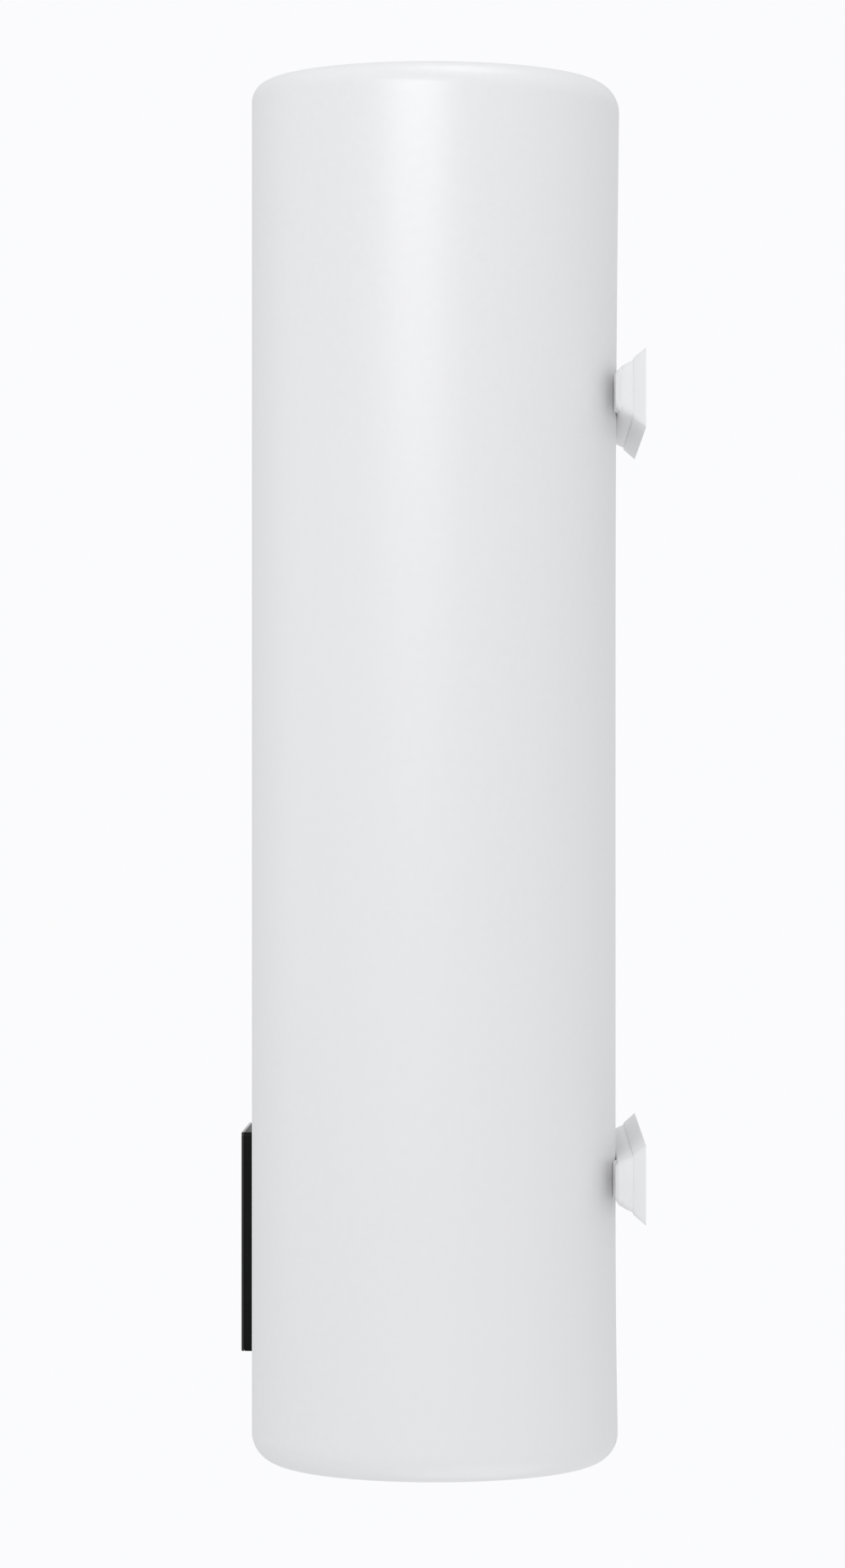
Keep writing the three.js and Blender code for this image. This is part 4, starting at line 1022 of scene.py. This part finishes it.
def thread_ring(height, rise):
    """Radii round the pipe at one height, with the thread risen by a share of its depth."""
    ring = []
    for j in range(THREAD_SIDES):
        phase = (height / THREAD_PITCH - j / THREAD_SIDES) % 1.0
        flank = (1 - abs(2 * phase - 1) - THREAD_ROOT_FLAT) / THREAD_FLANK
        tooth = min(1.0, max(0.0, flank))
        ring.append((THREAD_ROOT + (THREAD_CREST - THREAD_ROOT) * tooth * rise, height))
    return ring


def make_nipple(name):
    """A threaded end with a helical thread, on a plain pipe."""
    low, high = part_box(f"{name}_nipple")
    at = centre_of(f"{name}_nipple")
    length = high.z - low.z
    steps = int(THREAD_END / THREAD_PITCH * THREAD_STEPS_PER_TURN)
    fade = THREAD_FADE * THREAD_STEPS_PER_TURN
    rings = [[(PIPE_BORE, 0.0)] * THREAD_SIDES, [(THREAD_ROOT, 0.0)] * THREAD_SIDES]
    for i in range(steps + 1):
        height = THREAD_MARGIN + (THREAD_END - 2 * THREAD_MARGIN) * i / steps
        rings.append(thread_ring(height, min(1.0, i / fade, (steps - i) / fade)))
    pipe = THREAD_CREST - PIPE_UNDERSIZE
    plain = [(THREAD_ROOT, THREAD_END), (pipe, THREAD_END + THREAD_RUNOUT), (pipe, length)]
    rings += [[point] * THREAD_SIDES for point in (*plain, (PIPE_BORE, length))]
    angles = [2 * math.pi * j / THREAD_SIDES for j in range(THREAD_SIDES)]
    solid = []
    for ring in rings:
        solid.append([
            Vector((at.x + radius * math.cos(angle), at.y + radius * math.sin(angle), low.z + height))
            for (radius, height), angle in zip(ring, angles)
        ])
    nipple = skin(f"{name}_threaded_stub", solid, loop=True, sharp=50)
    dress(nipple, "zinc_steel", "heater", f"{name}_nipple")


def make_gland():
    """A domed nut with grip flutes under a plain threaded neck."""
    low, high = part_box("cable_gland")
    at = centre_of("cable_gland")
    length = high.z - low.z
    outline = [(radius * MM, height * MM) for radius, height in GLAND_DOME]
    outline.append((GLAND_RADIUS, GLAND_SHOULDER - GLAND_CHAMFER))
    outline.append((GLAND_RADIUS - GLAND_CHAMFER, GLAND_SHOULDER))
    outline += [(GLAND_NECK, GLAND_SHOULDER), (GLAND_NECK, length), (GLAND_BORE, length)]
    rings = []
    for radius, height in outline:
        depth = FLUTE_DEPTH if FLUTE_FROM < height < GLAND_SHOULDER - FLUTE_MARGIN else 0.0
        ring = []
        for j in range(GLAND_SIDES):
            angle = 2 * math.pi * j / GLAND_SIDES
            reach = radius - depth * (0.5 + 0.5 * math.cos(FLUTES * angle))
            x, y = at.x + reach * math.cos(angle), at.y + reach * math.sin(angle)
            ring.append(Vector((x, y, low.z + height)))
        rings.append(ring)
    gland = skin("gland_nut", rings, loop=True, sharp=40)
    dress(gland, "black_plastic", "heater", "cable_gland")


# ---- Pieces that keep their CAD shape ----------------------------------------


def dress_cad_nodes():
    """Gives each CAD node still on show its material, welded corners and softened edges."""
    slots = {part["node"]: part["material_slot"] for part in frame["record"]["subparts"]}
    for name, node in frame["nodes"].items():
        if node.hide_render:
            continue
        node.data.materials.clear()
        node.data.materials.append(MATERIALS[slots[name]])
        weld = node.modifiers.new("weld", "WELD")
        weld.merge_threshold = WELD
        bevel(node, CAD_BEVEL, segments=2)


# ---- Stage -------------------------------------------------------------------


def make_floor():
    """A pale floor that is seen from above only, so that views from below stay clear."""
    level = BOTTOM - FLOOR_DROP
    size = FLOOR_HALF_SIZE
    corners = [(-size, -size, level), (size, -size, level), (size, size, level), (-size, size, level)]
    floor = mesh_object("floor", corners, [(0, 1, 2, 3)])
    material = bpy.data.materials.new("pale_floor")
    material.use_nodes = True
    nodes, links = material.node_tree.nodes, material.node_tree.links
    nodes.clear()
    glow = nodes.new("ShaderNodeEmission")
    glow.inputs["Color"].default_value = (*PAPER, 1)
    clear = nodes.new("ShaderNodeBsdfTransparent")
    side = nodes.new("ShaderNodeNewGeometry").outputs["Backfacing"]
    mix = nodes.new("ShaderNodeMixShader")
    output = nodes.new("ShaderNodeOutputMaterial")
    links.new(side, mix.inputs[0])
    links.new(glow.outputs[0], mix.inputs[1])
    links.new(clear.outputs[0], mix.inputs[2])
    links.new(mix.outputs[0], output.inputs["Surface"])
    floor.data.materials.append(material)
    floor.visible_diffuse = False
    floor.visible_glossy = False
    floor.visible_shadow = False


def make_world():
    """A pale studio: what the camera sees behind the heater, and the dimmer light it gives."""
    world = bpy.data.worlds.new("studio")
    bpy.context.scene.world = world
    world.use_nodes = True
    nodes, links = world.node_tree.nodes, world.node_tree.links
    seen = nodes["Background"]
    seen.inputs["Color"].default_value = (*PAPER, 1)
    light = nodes.new("ShaderNodeBackground")
    light.inputs["Color"].default_value = (*AMBIENT_COLOUR, 1)
    light.inputs["Strength"].default_value = AMBIENT
    ray = nodes.new("ShaderNodeLightPath").outputs["Is Camera Ray"]
    mix = nodes.new("ShaderNodeMixShader")
    links.new(ray, mix.inputs[0])
    links.new(light.outputs[0], mix.inputs[1])
    links.new(seen.outputs[0], mix.inputs[2])
    links.new(mix.outputs[0], nodes["World Output"].inputs["Surface"])


def softbox(name, place, aim, size, power):
    data = bpy.data.lights.new(name, "AREA")
    data.shape = "RECTANGLE"
    data.size, data.size_y = size
    data.energy = power
    light = bpy.data.objects.new(name, data)
    bpy.context.scene.collection.objects.link(light)
    light.location = place
    light.rotation_euler = (aim - place).to_track_quat("-Z", "Y").to_euler()
    light.visible_camera = False


def make_lights():
    foot = Vector((0, MID_Y, BOTTOM))
    for name, place, aim, size, power in LIGHTS:
        softbox(name, foot + Vector(place), foot + Vector(aim), size, power)


def make_camera():
    data = bpy.data.cameras.new("camera")
    data.lens = CAMERA_LENS
    data.sensor_width = CAMERA_SENSOR
    data.clip_end = CAMERA_CLIP
    camera = bpy.data.objects.new("camera", data)
    bpy.context.scene.collection.objects.link(camera)
    towards = Vector((math.cos(CAMERA_TURN), math.sin(CAMERA_TURN), 0))
    aside = Vector((math.sin(CAMERA_TURN), -math.cos(CAMERA_TURN), 0))
    middle = Vector((0, MID_Y, BOTTOM + CAMERA_HEIGHT))
    camera.location = middle + towards * CAMERA_DISTANCE + aside * CAMERA_ASIDE
    camera.rotation_mode = "QUATERNION"
    camera.rotation_quaternion = (-towards).to_track_quat("-Z", "Y")
    bpy.context.scene.camera = camera


# ---- Making it all -----------------------------------------------------------

make_camera()
make_world()
make_lights()
make_floor()
bpy.context.scene.view_settings.view_transform = "Standard"

make_casing()
make_top_cap()
make_bottom_cap()
make_service_cover()
for screw in SCREWS:
    make_cover_screw(screw)
for bracket in BRACKETS:
    make_bracket(bracket)
    make_hook_plate(bracket)
make_panel()
for water, colour in zip(WATER, ("hot_red", "cold_blue")):
    make_nipple(water)
    make_cup(f"{water}_coloured_cup", f"{water}_collar", colour, **WATER_CUP)
make_cup("gland_cup", "gland_well", "white_plastic", **GLAND_CUP)
make_gland()
dress_cad_nodes()
